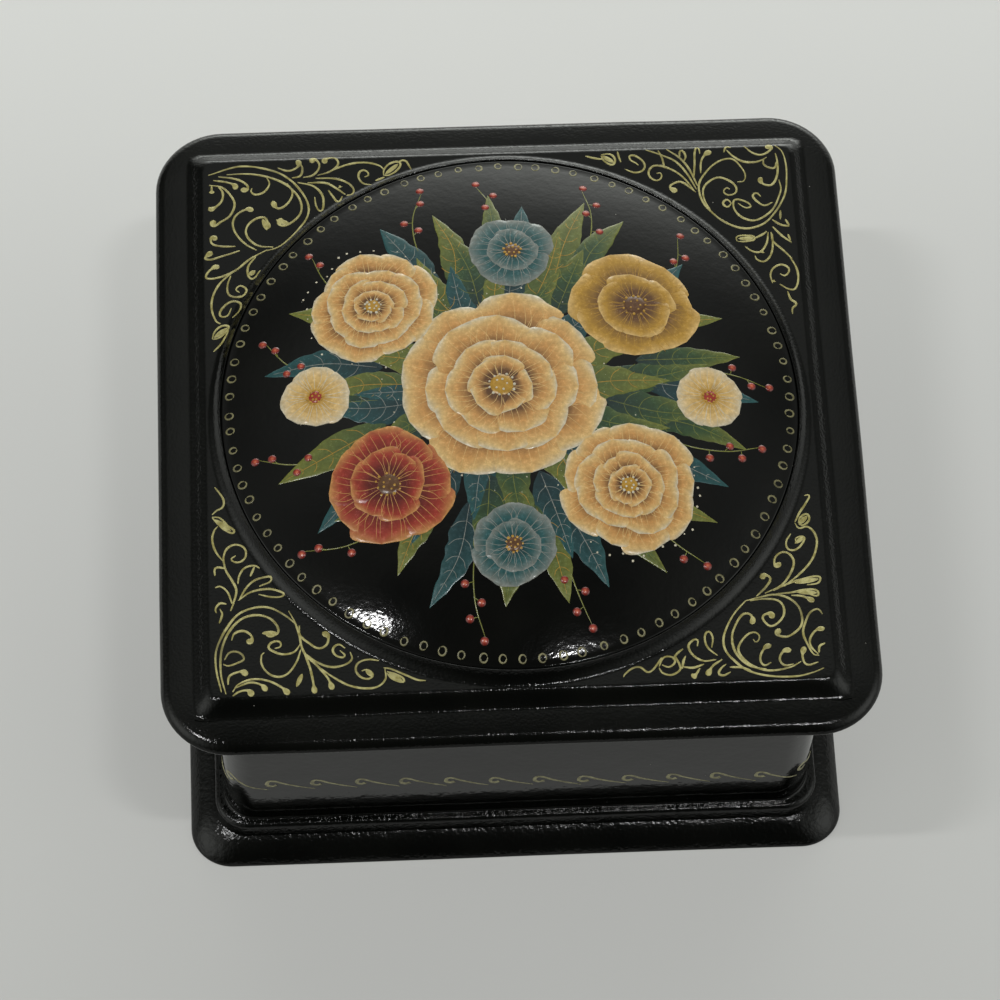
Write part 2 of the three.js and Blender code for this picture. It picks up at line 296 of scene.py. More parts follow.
def lacquer(name, colour, rubbed, dusty, rough=0.09, grain=0.02, grain_size=0.3, peel=0.014):
    """Hand-rubbed lacquer: deep gloss with fine grain, an orange peel, soft waves, rubbed patches, dust."""
    made = Shading(name)
    patches = made.cloud(size=9, detail=4)
    ground = made.blend(made.span(patches, 0.35, 0.7), colour, rubbed)
    specks = made.dust(spacing=1.7, share=dusty, radius=0.06)
    polish = made.span(patches, 0.3, 0.75, rough, rough * 1.7)
    normal = made.bump(made.cloud(size=5, detail=1), depth=0.03)
    normal = made.bump(made.cloud(size=0.8, detail=2), peel, under=normal)
    normal = made.bump(made.cloud(grain_size, detail=2), grain, under=normal)
    made.finish(
        Base_Color=made.blend(specks, ground, DUST),
        Roughness=made.compute("MAXIMUM", polish, made.compute("MULTIPLY", specks, 0.7)),
        Normal=normal,
        IOR=LACQUER_INDEX,
    )
    return made.material


def gold_paint(name, thick, thin, worn):
    """Brushed gold paint: pale where it lies thick, duller where the brush ran dry, and rubbed in places."""
    made = Shading(name)
    drag = made.cloud(size=0.7, detail=3, roughness=0.6)
    dry = made.cloud(size=3.2, detail=2)
    body = made.blend(made.span(drag, 0.36, 0.6), thin, thick)
    made.finish(
        Base_Color=made.blend(made.span(dry, 0.55, 0.75, 0, 0.7), body, worn),
        Metallic=0.1,
        Roughness=made.span(drag, 0.3, 0.7, 0.3, 0.5),
        Normal=made.bump(made.cloud(size=0.2), depth=0.008),
    )
    return made.material


PAINT_COLOURS = "paint"  # where a painted piece keeps its strokes' colours


def coloured_paint():
    """Tempera colours under clear lacquer: the strokes' own colours, dragged a little by the brush."""
    made = Shading("coloured_paint")
    colour = made.tree.nodes.new("ShaderNodeVertexColor")
    colour.layer_name = PAINT_COLOURS
    drag = made.cloud(size=0.5, detail=3, roughness=0.65)
    dry_brush, full_brush = (0.74, 0.72, 0.68), (1.1, 1.1, 1.1)
    shade = made.blend(made.span(drag, 0.3, 0.7), dry_brush, full_brush)
    made.finish(
        Base_Color=made.blend(1.0, colour.outputs["Color"], shade, kind="MULTIPLY"),
        Roughness=made.span(drag, 0.3, 0.7, 0.18, 0.3),
        Normal=made.bump(made.cloud(size=0.6, detail=2), depth=0.012),
        IOR=VARNISH_INDEX,
    )
    return made.material


def metal(name, bright, dull, rough):
    """Old sheet metal: dull patches, fine pits and a brushed gloss."""
    made = Shading(name)
    patches = made.cloud(size=2.4, detail=5, roughness=0.65)
    made.finish(
        Base_Color=made.blend(made.span(patches, 0.42, 0.68), bright, dull),
        Metallic=1.0,
        Roughness=made.span(patches, 0.3, 0.7, rough, rough + 0.25),
        Normal=made.bump(made.cloud(size=0.16, detail=2), depth=0.012),
    )
    return made.material


FLOOR_GLOW = 0.4  # share of the paper's paleness that it shows of itself, without the lamps, to the camera and in reflections: a glow that paints out most of the box's shadows on it
FLOOR_PAINTED_LIGHT_REACH = 140  # painted light: the paper is painted lighter from this far before the box to this far behind it, where the room's light comes from


def pale_floor():
    """Plain pale paper that the box stands on, with painted light: painted lighter towards the back, and
    glowing a little of itself so that the box's shadows on it stay faint.
    """
    made = Shading("pale_floor")
    parts = made.tree.nodes.new("ShaderNodeSeparateXYZ")
    made.plug(made.place, parts.inputs[0])
    # painted light: the paper's colour lightens towards the back, standing in for the room's light from
    # behind
    depth = made.span(parts.outputs["Y"], -FLOOR_PAINTED_LIGHT_REACH * MM, FLOOR_PAINTED_LIGHT_REACH * MM)
    shade = made.blend(depth, srgb(170, 170, 168), srgb(228, 229, 226))
    paper = made.blend(made.span(made.cloud(size=60), 0.3, 0.7, 0, 0.1), shade, srgb(204, 205, 202))
    # the paper glows of itself to the camera and in reflections, painted light that keeps the box's shadows
    # on it faint
    light_path = made.tree.nodes.new("ShaderNodeLightPath").outputs
    seen = made.compute("ADD", light_path["Is Camera Ray"], light_path["Is Glossy Ray"])
    seen = made.compute("ADD", seen, light_path["Is Transmission Ray"])
    made.finish(
        Base_Color=made.blend(FLOOR_GLOW, paper, (0, 0, 0)),
        Roughness=0.85,
        Emission_Color=paper,
        Emission_Strength=made.compute("MULTIPLY", seen, FLOOR_GLOW),
    )
    return made.material


BLACK, RUBBED_BLACK = (0.0009, 0.0011, 0.0008), (0.0022, 0.0024, 0.0018)
SOFT_BLACK, RUBBED_SOFT_BLACK = (0.0016, 0.0017, 0.0015), (0.0034, 0.0034, 0.0028)
black_lacquer = lacquer("black_lacquer", BLACK, RUBBED_BLACK, dusty=0.12, grain=0.032)
coarse_lacquer = lacquer(
    "coarse_lacquer", BLACK, RUBBED_BLACK, dusty=0.12, rough=0.13, grain=0.05, grain_size=0.42, peel=0.05)
polished_lacquer = lacquer("polished_lacquer", BLACK, RUBBED_BLACK, dusty=0.08, rough=0.035, grain=0.002)
red_lacquer = lacquer("red_lacquer", srgb(118, 21, 14), srgb(130, 26, 16), dusty=0.04)
medallion_lacquer = lacquer(
    "medallion_lacquer", SOFT_BLACK, RUBBED_SOFT_BLACK, dusty=0.08, rough=0.05, grain=0.004)
gold = gold_paint("gold_paint", srgb(178, 171, 114), srgb(140, 131, 72), srgb(96, 89, 50))
dull_gold = gold_paint("dull_gold", srgb(126, 121, 84), srgb(88, 84, 54), srgb(50, 48, 36))
pale_gold = gold_paint("pale_gold", srgb(180, 175, 136), srgb(131, 126, 92), srgb(55, 53, 42))
colours = coloured_paint()
brass = metal("brass", srgb(200, 158, 82), srgb(164, 124, 62), rough=0.24)
steel = metal("steel", srgb(176, 177, 178), srgb(112, 108, 102), rough=0.28)


# Shells

def square_ring(half, corner, z):
    """Points round a square with round corners. Every ring has as many points, whatever its size."""
    reach = half - corner
    ring = []
    for quarter in range(4):
        turn = quarter * math.pi / 2
        centre = Vector((math.cos(turn) - math.sin(turn), math.sin(turn) + math.cos(turn), 0)) * reach
        for t in shares(CORNER_STEPS):
            angle = turn + t * math.pi / 2
            ring.append(centre + Vector((math.cos(angle), math.sin(angle), 0)) * corner)
        along = Vector((-math.cos(turn), -math.sin(turn), 0)) * 2 * reach
        start = ring[-1]
        ring += [start + along * t for t in shares(SIDE_STEPS)[1:-1]]
    return [Vector((point.x, point.y, z)) for point in ring]


def rayed_ring(radius_at, z):
    """Points round Z at even angles, the corners of a square among them."""
    ring = []
    for angle in full_turn(ROUND_STEPS):
        radius = radius_at(angle)
        ring.append(Vector((radius * math.cos(angle), radius * math.sin(angle), z)))
    return ring


def square_ray(half, corner):
    """Distance from the middle to the edge of a square with round corners, at an angle."""
    reach = half - corner
    diagonal = reach * math.sqrt(2)

    def radius_at(angle):
        across, along = sorted((abs(math.cos(angle)), abs(math.sin(angle))))
        if half * across <= reach * along:
            return half / along
        lean = math.pi / 4 - math.atan2(across, along)
        return diagonal * math.cos(lean) + math.sqrt(corner ** 2 - (diagonal * math.sin(lean)) ** 2)
    return radius_at


def circle_ray(radius):
    return lambda angle: radius


def top_edge(half, level, ease, steps, inward=1):
    """Distances and heights round an eased top edge, from its upright face to its level one."""
    edge = []
    for a in quarter_turn(steps):
        edge.append((half - inward * ease * (1 - math.cos(a)), level - ease * (1 - math.sin(a))))
    return edge


def bottom_edge(half, level, ease, steps, inward=1):
    """The same from the level face of a bottom edge, or of a fillet with inward -1, up to the upright one."""
    edge = []
    for a in quarter_turn(steps):
        edge.append((half - inward * ease * (1 - math.sin(a)), level + ease * (1 - math.cos(a))))
    return edge


def skin(rings, is_closed):
    """Faces between neighbouring rings. Closed, the last ring joins the first; open, caps shut both ends."""
    count = len(rings[0])
    points = [point for ring in rings for point in ring]
    faces = []
    for level in range(len(rings) if is_closed else len(rings) - 1):
        below = level * count
        above = (level + 1) % len(rings) * count
        for i in range(count):
            following = (i + 1) % count
            faces.append((below + i, below + following, above + following, above + i))
    if not is_closed:
        faces.append(tuple(reversed(range(count))))
        faces.append(tuple(range(len(points) - count, len(points))))
    return points, faces


def mesh_object(name, points, faces):
    mesh = bpy.data.meshes.new(name)
    mesh.from_pydata([point * MM for point in points], [], faces)
    edit = bmesh.new()
    edit.from_mesh(mesh)
    bmesh.ops.recalc_face_normals(edit, faces=edit.faces)
    edit.to_mesh(mesh)
    edit.free()
    made = bpy.data.objects.new(name, mesh)
    bpy.context.collection.objects.link(made)
    return made


def make_piece(name, points, faces, body, slot, *materials):
    """A finished piece that rides on a body."""
    made = mesh_object(name, points, faces)
    for material in materials:
        made.data.materials.append(material)
    made.data.shade_smooth()
    made.data.set_sharp_from_angle(angle=SHARP_ANGLE)
    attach(made, body)
    return made


def away_from_hinge(point):
    """1 over most of the box, falling to 0 round the hinge, where brass is let in flush."""
    distance = max(abs(point.x) - leaf_reach, wall_half - STILL_DEPTH - point.y)
    return ramp(distance / STILL_FADE)


def handmade(points):
    """The points a little out of true, and none of them below the ground."""
    moved = []
    for point in points:
        drift = noise.noise_vector(point * UNEVEN_FREQUENCY) * UNEVENNESS
        drift.z *= UNEVEN_UPRIGHT
        place = point + drift * away_from_hinge(point)
        place.z = max(place.z, 0)
        moved.append(place)
    return moved


def make_shell(name, rings, body, slot, *materials, is_closed):
    """The lacquered skin of a board, over its rings."""
    points, faces = skin(rings, is_closed)
    return make_piece(name, handmade(points), faces, body, slot, *materials)


def paint_faces(piece, is_second):
    """The second material on the faces that a test on their middle and normal picks."""
    for face in piece.data.polygons:
        if is_second(face.center / MM, face.normal):
            face.material_index = 1


def block(low, high):
    corners = [Vector(corner) for corner in itertools.product(*zip(low, high))]
    faces = [(0, 1, 3, 2), (4, 6, 7, 5), (0, 4, 5, 1), (2, 3, 7, 6), (0, 2, 6, 4), (1, 5, 7, 3)]
    return corners, faces


def hinge_rod(radius, reach):
    """A rod along the hinge axis, the same length to both sides."""
    rings = []
    for x in (-reach, reach):
        round_axis = [heading(angle) * radius for angle in full_turn(ROD_STEPS)]
        rings.append([Vector((x, hinge_y + offset.x, hinge_z + offset.y)) for offset in round_axis])
    return skin(rings, is_closed=False)


def cut(piece, *cutters):
    """Takes each cutter's shape out of the piece."""
    for points, faces in cutters:
        cutter = mesh_object("cutter", points, faces)
        modifier = piece.modifiers.new("cut", "BOOLEAN")
        modifier.operation = "DIFFERENCE"
        modifier.solver = "EXACT"
        modifier.object = cutter
        evaluated = piece.evaluated_get(bpy.context.evaluated_depsgraph_get())
        mesh = bpy.data.meshes.new_from_object(evaluated)
        piece.modifiers.remove(modifier)
        old = piece.data
        piece.data = mesh
        mesh.name = piece.name
        bpy.data.meshes.remove(old)
        cutter_mesh = cutter.data
        bpy.data.objects.remove(cutter)
        bpy.data.meshes.remove(cutter_mesh)
    piece.data.set_sharp_from_angle(angle=SHARP_ANGLE)


def barrel_hollow():
    return hinge_rod(barrel_radius + BARREL_CLEARANCE, pin_high.x + BARREL_CLEARANCE)


def walls():
    """The wall tube with eased top edges, black outside and red within, and the recess for the hinge."""
    bottom, top = wall_low.z, wall_high.z
    outside = [(wall_half, mix(bottom, top - WALL_EASE, t)) for t in shares(WALL_RINGS)]
    outside += top_edge(wall_half, top, WALL_EASE, EDGE_STEPS)[1:]
    inside = top_edge(cavity_half, top, WALL_EASE, EDGE_STEPS, inward=-1)[:-1]
    inside.reverse()
    inside += [(cavity_half, mix(top - WALL_EASE, bottom, t)) for t in shares(CAVITY_RINGS)[1:]]
    rings = [square_ring(half, WALL_CORNER, z) for half, z in outside]
    rings += [square_ring(half, WALL_INNER_CORNER, z) for half, z in inside]
    made = make_shell(
        "lacquer_walls", rings, "base", "black_lacquer", polished_lacquer, red_lacquer, is_closed=True)
    depth = leaf_thickness + LEAF_CLEARANCE
    recess = block(
        (-leaf_reach, wall_half - depth, leaf_low.z - LEAF_CLEARANCE),
        (leaf_reach, wall_half + depth, lid_underside),
    )
    cut(made, recess, barrel_hollow())
    paint_faces(made, lambda middle, normal: max(abs(middle.x), abs(middle.y)) < cavity_half + WALL_EASE)
    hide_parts("wall_frame")


def floor_panel():
    """The bottom board, red on top and black below."""
    half = wall_half - SEAT_SINK
    sections = [
        (half - FLOOR_EASE, WALL_CORNER - FLOOR_EASE, floor_low.z),
        (half, WALL_CORNER, floor_low.z + FLOOR_EASE),
        (half, WALL_CORNER, floor_high.z),
    ]
    rings = [square_ring(*section) for section in sections]
    made = make_shell(
        "lacquer_floor", rings, "base", "red_lacquer", black_lacquer, red_lacquer, is_closed=False)
    paint_faces(made, lambda middle, normal: normal.z > LEVEL_NORMAL)
    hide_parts("floor_board")


def plinth():
    """Foot moulding from the ground up: edge, band, round, step, shelf and fillet, and the ledge inside."""
    inner_half = wall_half - SEAT_SINK
    ledge_half = inner_half - LEDGE_WIDTH
    profile = bottom_edge(foot_half, 0, FOOT_EASE, SMALL_EDGE_STEPS)
    for t in shares(PROFILE_STEPS):
        lean = mix(ROUND_END, ROUND_START, t)
        half = round_half + round_radius * (math.sin(lean) - math.sin(ROUND_START))
        profile.append((half, round_top - round_radius * (math.cos(ROUND_START) - math.cos(lean))))
    profile += top_edge(shelf_half, plinth_top, SHELF_ROUND, SHELF_EDGE_STEPS)
    profile += bottom_edge(wall_half, plinth_top, SHELF_FILLET, EDGE_STEPS, inward=-1)
    profile += [(inner_half, plinth_top + SHELF_FILLET), (inner_half, floor_low.z)]
    profile += [(ledge_half, floor_low.z), (ledge_half, plinth_low.z)]
    rings = []
    for half, z in profile:
        outward = max((half - inner_half) / (foot_half - inner_half), 0)
        rings.append(square_ring(half, mix(WALL_CORNER, PLINTH_CORNER, outward), z))
    made = make_shell("lacquer_plinth", rings, "base", "black_lacquer", coarse_lacquer, is_closed=True)
    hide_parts("plinth_moulding")


def lid_board():
    """The overhanging board with its rounded rim, red underneath between the strips."""
    edge_centre = lid_half - RIM_EDGE
    round_run = RIM_RADIUS * (math.sin(RIM_LEAN) - math.sin(FLANGE_LEAN))
    round_start = edge_centre + RIM_EDGE * math.sin(RIM_LEAN) - round_run
    start_level = lid_top - (round_start - panel_foot_half) * math.tan(FLANGE_LEAN)
    round_centre = start_level - RIM_RADIUS * math.cos(FLANGE_LEAN)
    edge_level = round_centre + (RIM_RADIUS - RIM_EDGE) * math.cos(RIM_LEAN)
    rim = [(lid_half - RIM_UNDERCUT, lid_underside)]
    for t in shares(RIM_EDGE_STEPS):
        lean = mix(RIM_TURN, RIM_LEAN, t)
        rim.append((edge_centre + RIM_EDGE * math.sin(lean), edge_level + RIM_EDGE * math.cos(lean)))
    for t in shares(PROFILE_STEPS)[1:]:
        lean = mix(RIM_LEAN, FLANGE_LEAN, t)
        half = round_start + RIM_RADIUS * (math.sin(lean) - math.sin(FLANGE_LEAN))
        rim.append((half, round_centre + RIM_RADIUS * math.cos(lean)))
    rim += [(panel_foot_half, lid_top), (panel_foot_half - UNDER_PANEL, lid_top)]
    sections = [(half, WALL_INNER_CORNER, lid_underside) for half in (cavity_half - CAP_INSET, cavity_half)]
    sections += [(half, LID_CORNER - (lid_half - half), z) for half, z in rim]
    rings = [square_ring(*section) for section in sections]
    made = make_shell(
        "lacquer_rim", rings, "lid", "black_lacquer", black_lacquer, red_lacquer, is_closed=False)
    depth = leaf_thickness + LEAF_CLEARANCE
    recess = block(
        (-leaf_reach, hinge_y, lid_underside - depth),
        (leaf_reach, lid_leaf_high.y + LEAF_CLEARANCE, lid_underside + depth),
    )
    cut(made, recess, barrel_hollow())

    def is_within_strips(middle, normal):
        return normal.z < -LEVEL_NORMAL and max(abs(middle.x), abs(middle.y)) < cavity_half
    paint_faces(made, is_within_strips)
    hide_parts("lid_board")


def lid_panel():
    """The raised panel: ogee edges, a level field and the collar that sweeps up to the dome."""
    base = lid_top - SEAT_SINK
    rings = [rayed_ring(square_ray(panel_foot_half, PANEL_CORNER), base)]
    for t in shares(PROFILE_STEPS):
        half = panel_foot_half - PANEL_SLOPE * t
        rings.append(rayed_ring(square_ray(half, PANEL_CORNER), panel_edge_height(half)))
    edge, foot = square_ray(panel_half, PANEL_CORNER), circle_ray(collar_outer)
    for t in shares(FIELD_RINGS)[1:]:
        rings.append(rayed_ring(lambda angle: mix(edge(angle), foot(angle), t), panel_top))
    for t in shares(PROFILE_STEPS)[1:]:
        radius = mix(collar_outer, collar_land, t)
        rings.append(rayed_ring(circle_ray(radius), collar_height(radius)))
    for angle in quarter_turn(SMALL_EDGE_STEPS)[1:]:
        radius = collar_land - COLLAR_ROUND * math.sin(angle)
        rings.append(rayed_ring(circle_ray(radius), collar_top - COLLAR_ROUND * (1 - math.cos(angle))))
    rings.append(rayed_ring(circle_ray(collar_inner), base))
    made = make_shell("lacquer_panel", rings, "lid", "black_lacquer", black_lacquer, is_closed=True)
    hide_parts("lid_panel")


def panel_edge_height(reach):
    """Top of the panel's sloped edge at a distance straight out from the middle."""
    return mix(lid_top, panel_top, ramp((panel_foot_half - reach) / PANEL_SLOPE))


def collar_height(radius):
    """Top of the panel and its collar, which steepens towards the dome, at a distance from the middle."""
    share = (collar_outer - radius) / (collar_outer - collar_land)
    return mix(panel_top, collar_top, min(max(share, 0), 1) ** 2)


def dome_height(radius):
    """Top of the dome at a distance from its middle."""
    share = min(radius / (dome_radius - DOME_EASE), 1)
    return collar_top + dome_rise * (1 - share ** DOME_FULLNESS)


def dome():
    """The round medallion board, let into the panel with a fine groove round it."""
    rings = [rayed_ring(circle_ray(dome_radius), dome_low.z - SEAT_SINK)]
    for radius, z in top_edge(dome_radius, collar_top, DOME_EASE, DOME_EDGE_STEPS):
        rings.append(rayed_ring(circle_ray(radius), z))
    for t in shares(DOME_RINGS)[1:-1]:
        radius = (dome_radius - DOME_EASE) * (1 - t)
        rings.append(rayed_ring(circle_ray(radius), dome_height(radius)))
    made = make_shell("lacquer_dome", rings, "lid", "painted_medallion", medallion_lacquer, is_closed=False)
    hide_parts("dome_medallion")


def smooth_shading():
    """Node group that shades a solid smoothly but keeps its real edges sharp."""
    group = bpy.data.node_groups.new("smooth_shading", "GeometryNodeTree")
    group.interface.new_socket("Geometry", in_out="INPUT", socket_type="NodeSocketGeometry")
    group.interface.new_socket("Geometry", in_out="OUTPUT", socket_type="NodeSocketGeometry")
    entry, leave = group.nodes.new("NodeGroupInput"), group.nodes.new("NodeGroupOutput")
    faces, edges = (group.nodes.new("GeometryNodeSetShadeSmooth") for _ in range(2))
    edges.domain = "EDGE"
    edges.inputs["Shade Smooth"].default_value = False
    fold = group.nodes.new("GeometryNodeInputMeshEdgeAngle")
    is_sharp = group.nodes.new("FunctionNodeCompare")
    is_sharp.operation = "GREATER_THAN"
    is_sharp.inputs[1].default_value = SHARP_ANGLE
    group.links.new(entry.outputs[0], faces.inputs["Geometry"])
    group.links.new(faces.outputs["Geometry"], edges.inputs["Geometry"])
    group.links.new(fold.outputs["Unsigned Angle"], is_sharp.inputs[0])
    group.links.new(is_sharp.outputs["Result"], edges.inputs["Selection"])
    group.links.new(edges.outputs["Geometry"], leave.inputs[0])
    return group


def dress(node, material, ease, shading):
    """A carried-over solid with its own finish, eased edges and smooth round faces."""
    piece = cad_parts[node]
    if not piece.material_slots:
        piece.data.materials.append(material)
    for slot in piece.material_slots:
        slot.link = "OBJECT"
        slot.material = material
    bevel = piece.modifiers.new("eased edges", "BEVEL")
    bevel.width = ease * MM
    bevel.segments = EASE_SEGMENTS
    bevel.limit_method = "ANGLE"
    bevel.angle_limit = SHARP_ANGLE
    piece.modifiers.new("smooth shading", "NODES").node_group = shading


def hinge_and_strips():
    shading = smooth_shading()
    dress("hinge_pin", steel, METAL_EASE, shading)
    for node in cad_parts:
        if node.startswith("lip_"):
            dress(node, red_lacquer, STRIP_EASE, shading)
        elif "nail" in node or "leaf" in node:
            dress(node, brass, METAL_EASE, shading)


# Paint

STROKE_STEP = 0.2
KNOT_STEPS = 16  # fineness of the curve between two knots
LEAST_STEPS = 4
LINE_HALF = 0.135
LINE_LIFT = 0.018
LINE_CROWN = 0.022
LINE_TIP = 0.4  # width of a line's ends, as a share of its middle
HAIR_HALF = 0.055
HAIR_CROWN = 0.006
DROP_HALF = 0.36
DROP_LENGTH = 1.5
DROP_WIDEST = 0.7  # where a drop is widest, as a share of its length
FILL_HALF = 0.28
STROKE_SINK = 0.004  # edges of the paint lie just below the lacquer, so that no light shows under them
LEAST_HALF = 0.02
WAVER = 0.2  # how much a stroke's width wavers with the pressure of the hand
WAVER_FREQUENCY = 0.8
WAVER_BY_LIFT = 50  # strokes in different layers waver in different places
LINE_ACROSS = (-1, -0.8, -0.35, 0.35, 0.8, 1)
HAIR_ACROSS = (-1, -0.5, 0.5, 1)
WIDE_ACROSS = (-1, -0.94, -0.7, -0.4, -0.13, 0.13, 0.4, 0.7, 0.94, 1)
BEAD_RINGS = (1, 0.85, 0.5)
BEAD_STEPS = 14


def lid_surface(x, y, lift):
    """A point of the lid's top, from the dome out over the panel and down its sloped edge."""
    radius, reach = math.hypot(x, y), max(abs(x), abs(y))
    if radius < dome_radius:
        z = dome_height(radius)
    elif reach < panel_half:
        z = collar_height(radius)
    else:
        z = panel_edge_height(reach)
    return Vector((x, y, z + lift))


def wall_surface(along, z, lift):
    """A point on the outside of the walls, at a distance round them from the middle of the front."""
    side = math.floor(along / wall_side + 0.5)
    offset = along - side * wall_side
    bend = max(abs(offset) - wall_straight, 0) / WALL_CORNER
    corner = WALL_CORNER + lift
    x = math.copysign(min(abs(offset), wall_straight) + corner * math.sin(bend), offset)
    y = -wall_straight - corner * math.cos(bend)
    return Matrix.Rotation(side * math.pi / 2, 3, "Z") @ Vector((x, y, z))


def smooth_path(knots, step=STROKE_STEP):
    """Points at even steps along a smooth line through the knots."""
    knots = [Vector((x, y, 0)) for x, y in knots]
    last = len(knots) - 1
    leads = [(knots[min(i + 1, last)] - knots[max(i - 1, 0)]).normalized() for i in range(last + 1)]
    fine = [knots[0]]
    for i in range(last):
        handle = (knots[i + 1] - knots[i]).length / 3
        before, after = knots[i] + leads[i] * handle, knots[i + 1] - leads[i + 1] * handle
        fine += interpolate_bezier(knots[i], before, after, knots[i + 1], KNOT_STEPS)[1:]
    gone = [0]
    for first, second in zip(fine, fine[1:]):
        gone.append(gone[-1] + (second - first).length)
    count = max(LEAST_STEPS, round(gone[-1] / step))
    path, i = [], 0
    for t in shares(count):
        target = t * gone[-1]
        while i < len(fine) - 2 and gone[i + 1] < target:
            i += 1
        share = (target - gone[i]) / max(gone[i + 1] - gone[i], 1e-9)
        path.append(fine[i].lerp(fine[i + 1], share).to_2d())
    return path


class Paint:
    """Strokes on one surface that make up one piece. Each stroke is a thin closed body of paint."""

    def __init__(self, surface):
        self.surface = surface
        self.points = []
        self.faces = []
        self.tints = []

    def add(self, place, lift, tint):
        self.points.append(self.surface(place.x, place.y, lift))
        self.tints.append(tint)

    def stroke(self, path, half_width, lift=LINE_LIFT, crown=LINE_CROWN, tint=None, across=LINE_ACROSS):
        """A brush stroke. Its half width follows the share of its length, its tint also the place across."""
        start, count, last = len(self.points), len(across), len(path) - 1
        for i, place in enumerate(path):
            ahead = path[min(i + 1, last)] - path[max(i - 1, 0)]
            side = Vector((-ahead.y, ahead.x)).normalized()
            spot = Vector((place.x, place.y, lift * WAVER_BY_LIFT)) * WAVER_FREQUENCY
            pressure = 1 + WAVER * noise.noise(spot)
            half = max(half_width(i / last) * pressure, LEAST_HALF)
            for k in across:
                height = -STROKE_SINK if abs(k) == 1 else lift + crown * (1 - k * k)
                self.add(place + side * half * k, height, tint(i / last, k) if tint else None)
        for below in range(start, start + last * count, count):
            above = below + count
            for k in range(count):
                following = (k + 1) % count
                self.faces.append((below + k, below + following, above + following, above + k))
        self.faces.append(tuple(range(start, start + count)))
        self.faces.append(tuple(range(start + last * count, start + (last + 1) * count)))

    def bead(self, place, radius, lift, crown, tint):
        """A round drop of paint, whose tint follows the share of its radius."""
        start = len(self.points)
        for share in BEAD_RINGS:
            height = -STROKE_SINK if share == 1 else lift + crown * (1 - share * share)
            for angle in full_turn(BEAD_STEPS):
                self.add(place + heading(angle) * radius * share, height, tint(share))
        self.add(place, lift + crown, tint(0))
        top = len(self.points) - 1
        for step in range(BEAD_STEPS):
            following = (step + 1) % BEAD_STEPS
            for ring in range(len(BEAD_RINGS) - 1):
                outer = start + ring * BEAD_STEPS
                inner = outer + BEAD_STEPS
                self.faces.append((outer + step, outer + following, inner + following, inner + step))
            inner = top - BEAD_STEPS
            self.faces.append((inner + step, inner + following, top))
        self.faces.append(tuple(range(start, start + BEAD_STEPS)))

    def piece(self, name, body, slot, material):
        made = make_piece(name, handmade(self.points), self.faces, body, slot, material)
        if self.tints[0]:
            layer = made.data.color_attributes.new(PAINT_COLOURS, "FLOAT_COLOR", "POINT")
            for value, tint in zip(layer.data, self.tints):
                value.color = (*tint, 1)


def brush_line(half):
    """Width of a line drawn with a loaded brush: full in the middle, finer at both ends."""
    return lambda t: half * mix(LINE_TIP, 1, math.sin(math.pi * t) ** 0.5)


def drop_line(length):
    """Width of a line that ends in a drop: it swells over the last part and closes in a round end."""
    swell = min(DROP_LENGTH / length, 0.6)

    def half(t):
        share = max(1 - (1 - t) / swell, 0)
        if share > DROP_WIDEST:
            past = (share - DROP_WIDEST) / (1 - DROP_WIDEST)
            return DROP_HALF * math.sqrt(max(1 - past ** 2, 0))
        line = LINE_HALF * (0.5 + 0.5 * min(t * 4, 1))
        return max(line, DROP_HALF * ramp(share / DROP_WIDEST))
    return half


def corner_scroll(name, right, back, lines, drops, fills):
    """The gold scrolls of one corner: right is -1 for a corner on the left, back is -1 for one in front."""
    paint = Paint(lid_surface)
    fine_step = STROKE_STEP / 2

    def placed(knots):
        return [(right * x, back * y) for x, y in knots]
    for fill in fills:
        start, end = placed(fill)
        middle = ((start[0] + end[0]) / 2, (start[1] + end[1]) / 2)
        path = smooth_path((start, middle, end), fine_step)
        paint.stroke(path, lambda t: FILL_HALF * math.sin(math.pi * t) ** 0.6)
    for knots in lines:
        paint.stroke(smooth_path(placed(knots)), brush_line(LINE_HALF))
    for knots in drops:
        path = smooth_path(placed(knots), fine_step)
        paint.stroke(path, drop_line(len(path) * fine_step), crown=2 * LINE_CROWN)
    paint.piece(name, "lid", "gold_paint", gold)


CIRCLETS = 88
CIRCLET_RADIUS = 32.45
CIRCLET_HALVES = (0.4, 0.46)
CIRCLET_LINE_HALF = 0.11
CIRCLET_STEP = 0.15
CIRCLET_KNOTS = 9
CIRCLET_TURN = 0.97  # the brush lifts just before it meets its start


def dome_circlets():
    """The border of small open rings near the dome's edge, each one a single turn of the brush."""
    rng = random.Random(5)
    paint = Paint(lid_surface)
    for number in range(CIRCLETS):
        outward = heading((number + rng.uniform(-0.09, 0.09)) / CIRCLETS * 2 * math.pi)
        onward = Vector((-outward.y, outward.x))
        middle = outward * (CIRCLET_RADIUS + rng.uniform(-0.1, 0.1))
        start, size = rng.uniform(0, 6.3), rng.uniform(0.88, 1.1)
        knots = []
        for t in shares(CIRCLET_KNOTS):
            turn = start + t * 2 * math.pi * CIRCLET_TURN
            spot = middle + onward * math.cos(turn) * CIRCLET_HALVES[0] * size
            knots.append(spot + outward * math.sin(turn) * CIRCLET_HALVES[1] * size)
        paint.stroke(smooth_path(knots, CIRCLET_STEP), brush_line(CIRCLET_LINE_HALF))
    paint.piece("dome_circlets", "lid", "gold_paint", dull_gold)


# One scroll of the row round the walls, from its curl down to its fading tail
WALL_SCROLL = ((0.3, -0.25), (-0.3, -0.55), (-0.8, -0.05), (-0.35, 0.9), (1.2, 0), (2.9, -0.9), (4.6, -1.6))
SCROLLS_PER_SIDE = 13
SCROLL_LEVEL = 13.5
SCROLL_MIDDLE = 2  # a scroll leans about this point
SCROLL_REACH = 4
WALL_LINE_HALF = 0.26
SCROLL_DIP = 1.2  # the row was drawn freehand and wanders this far up and down


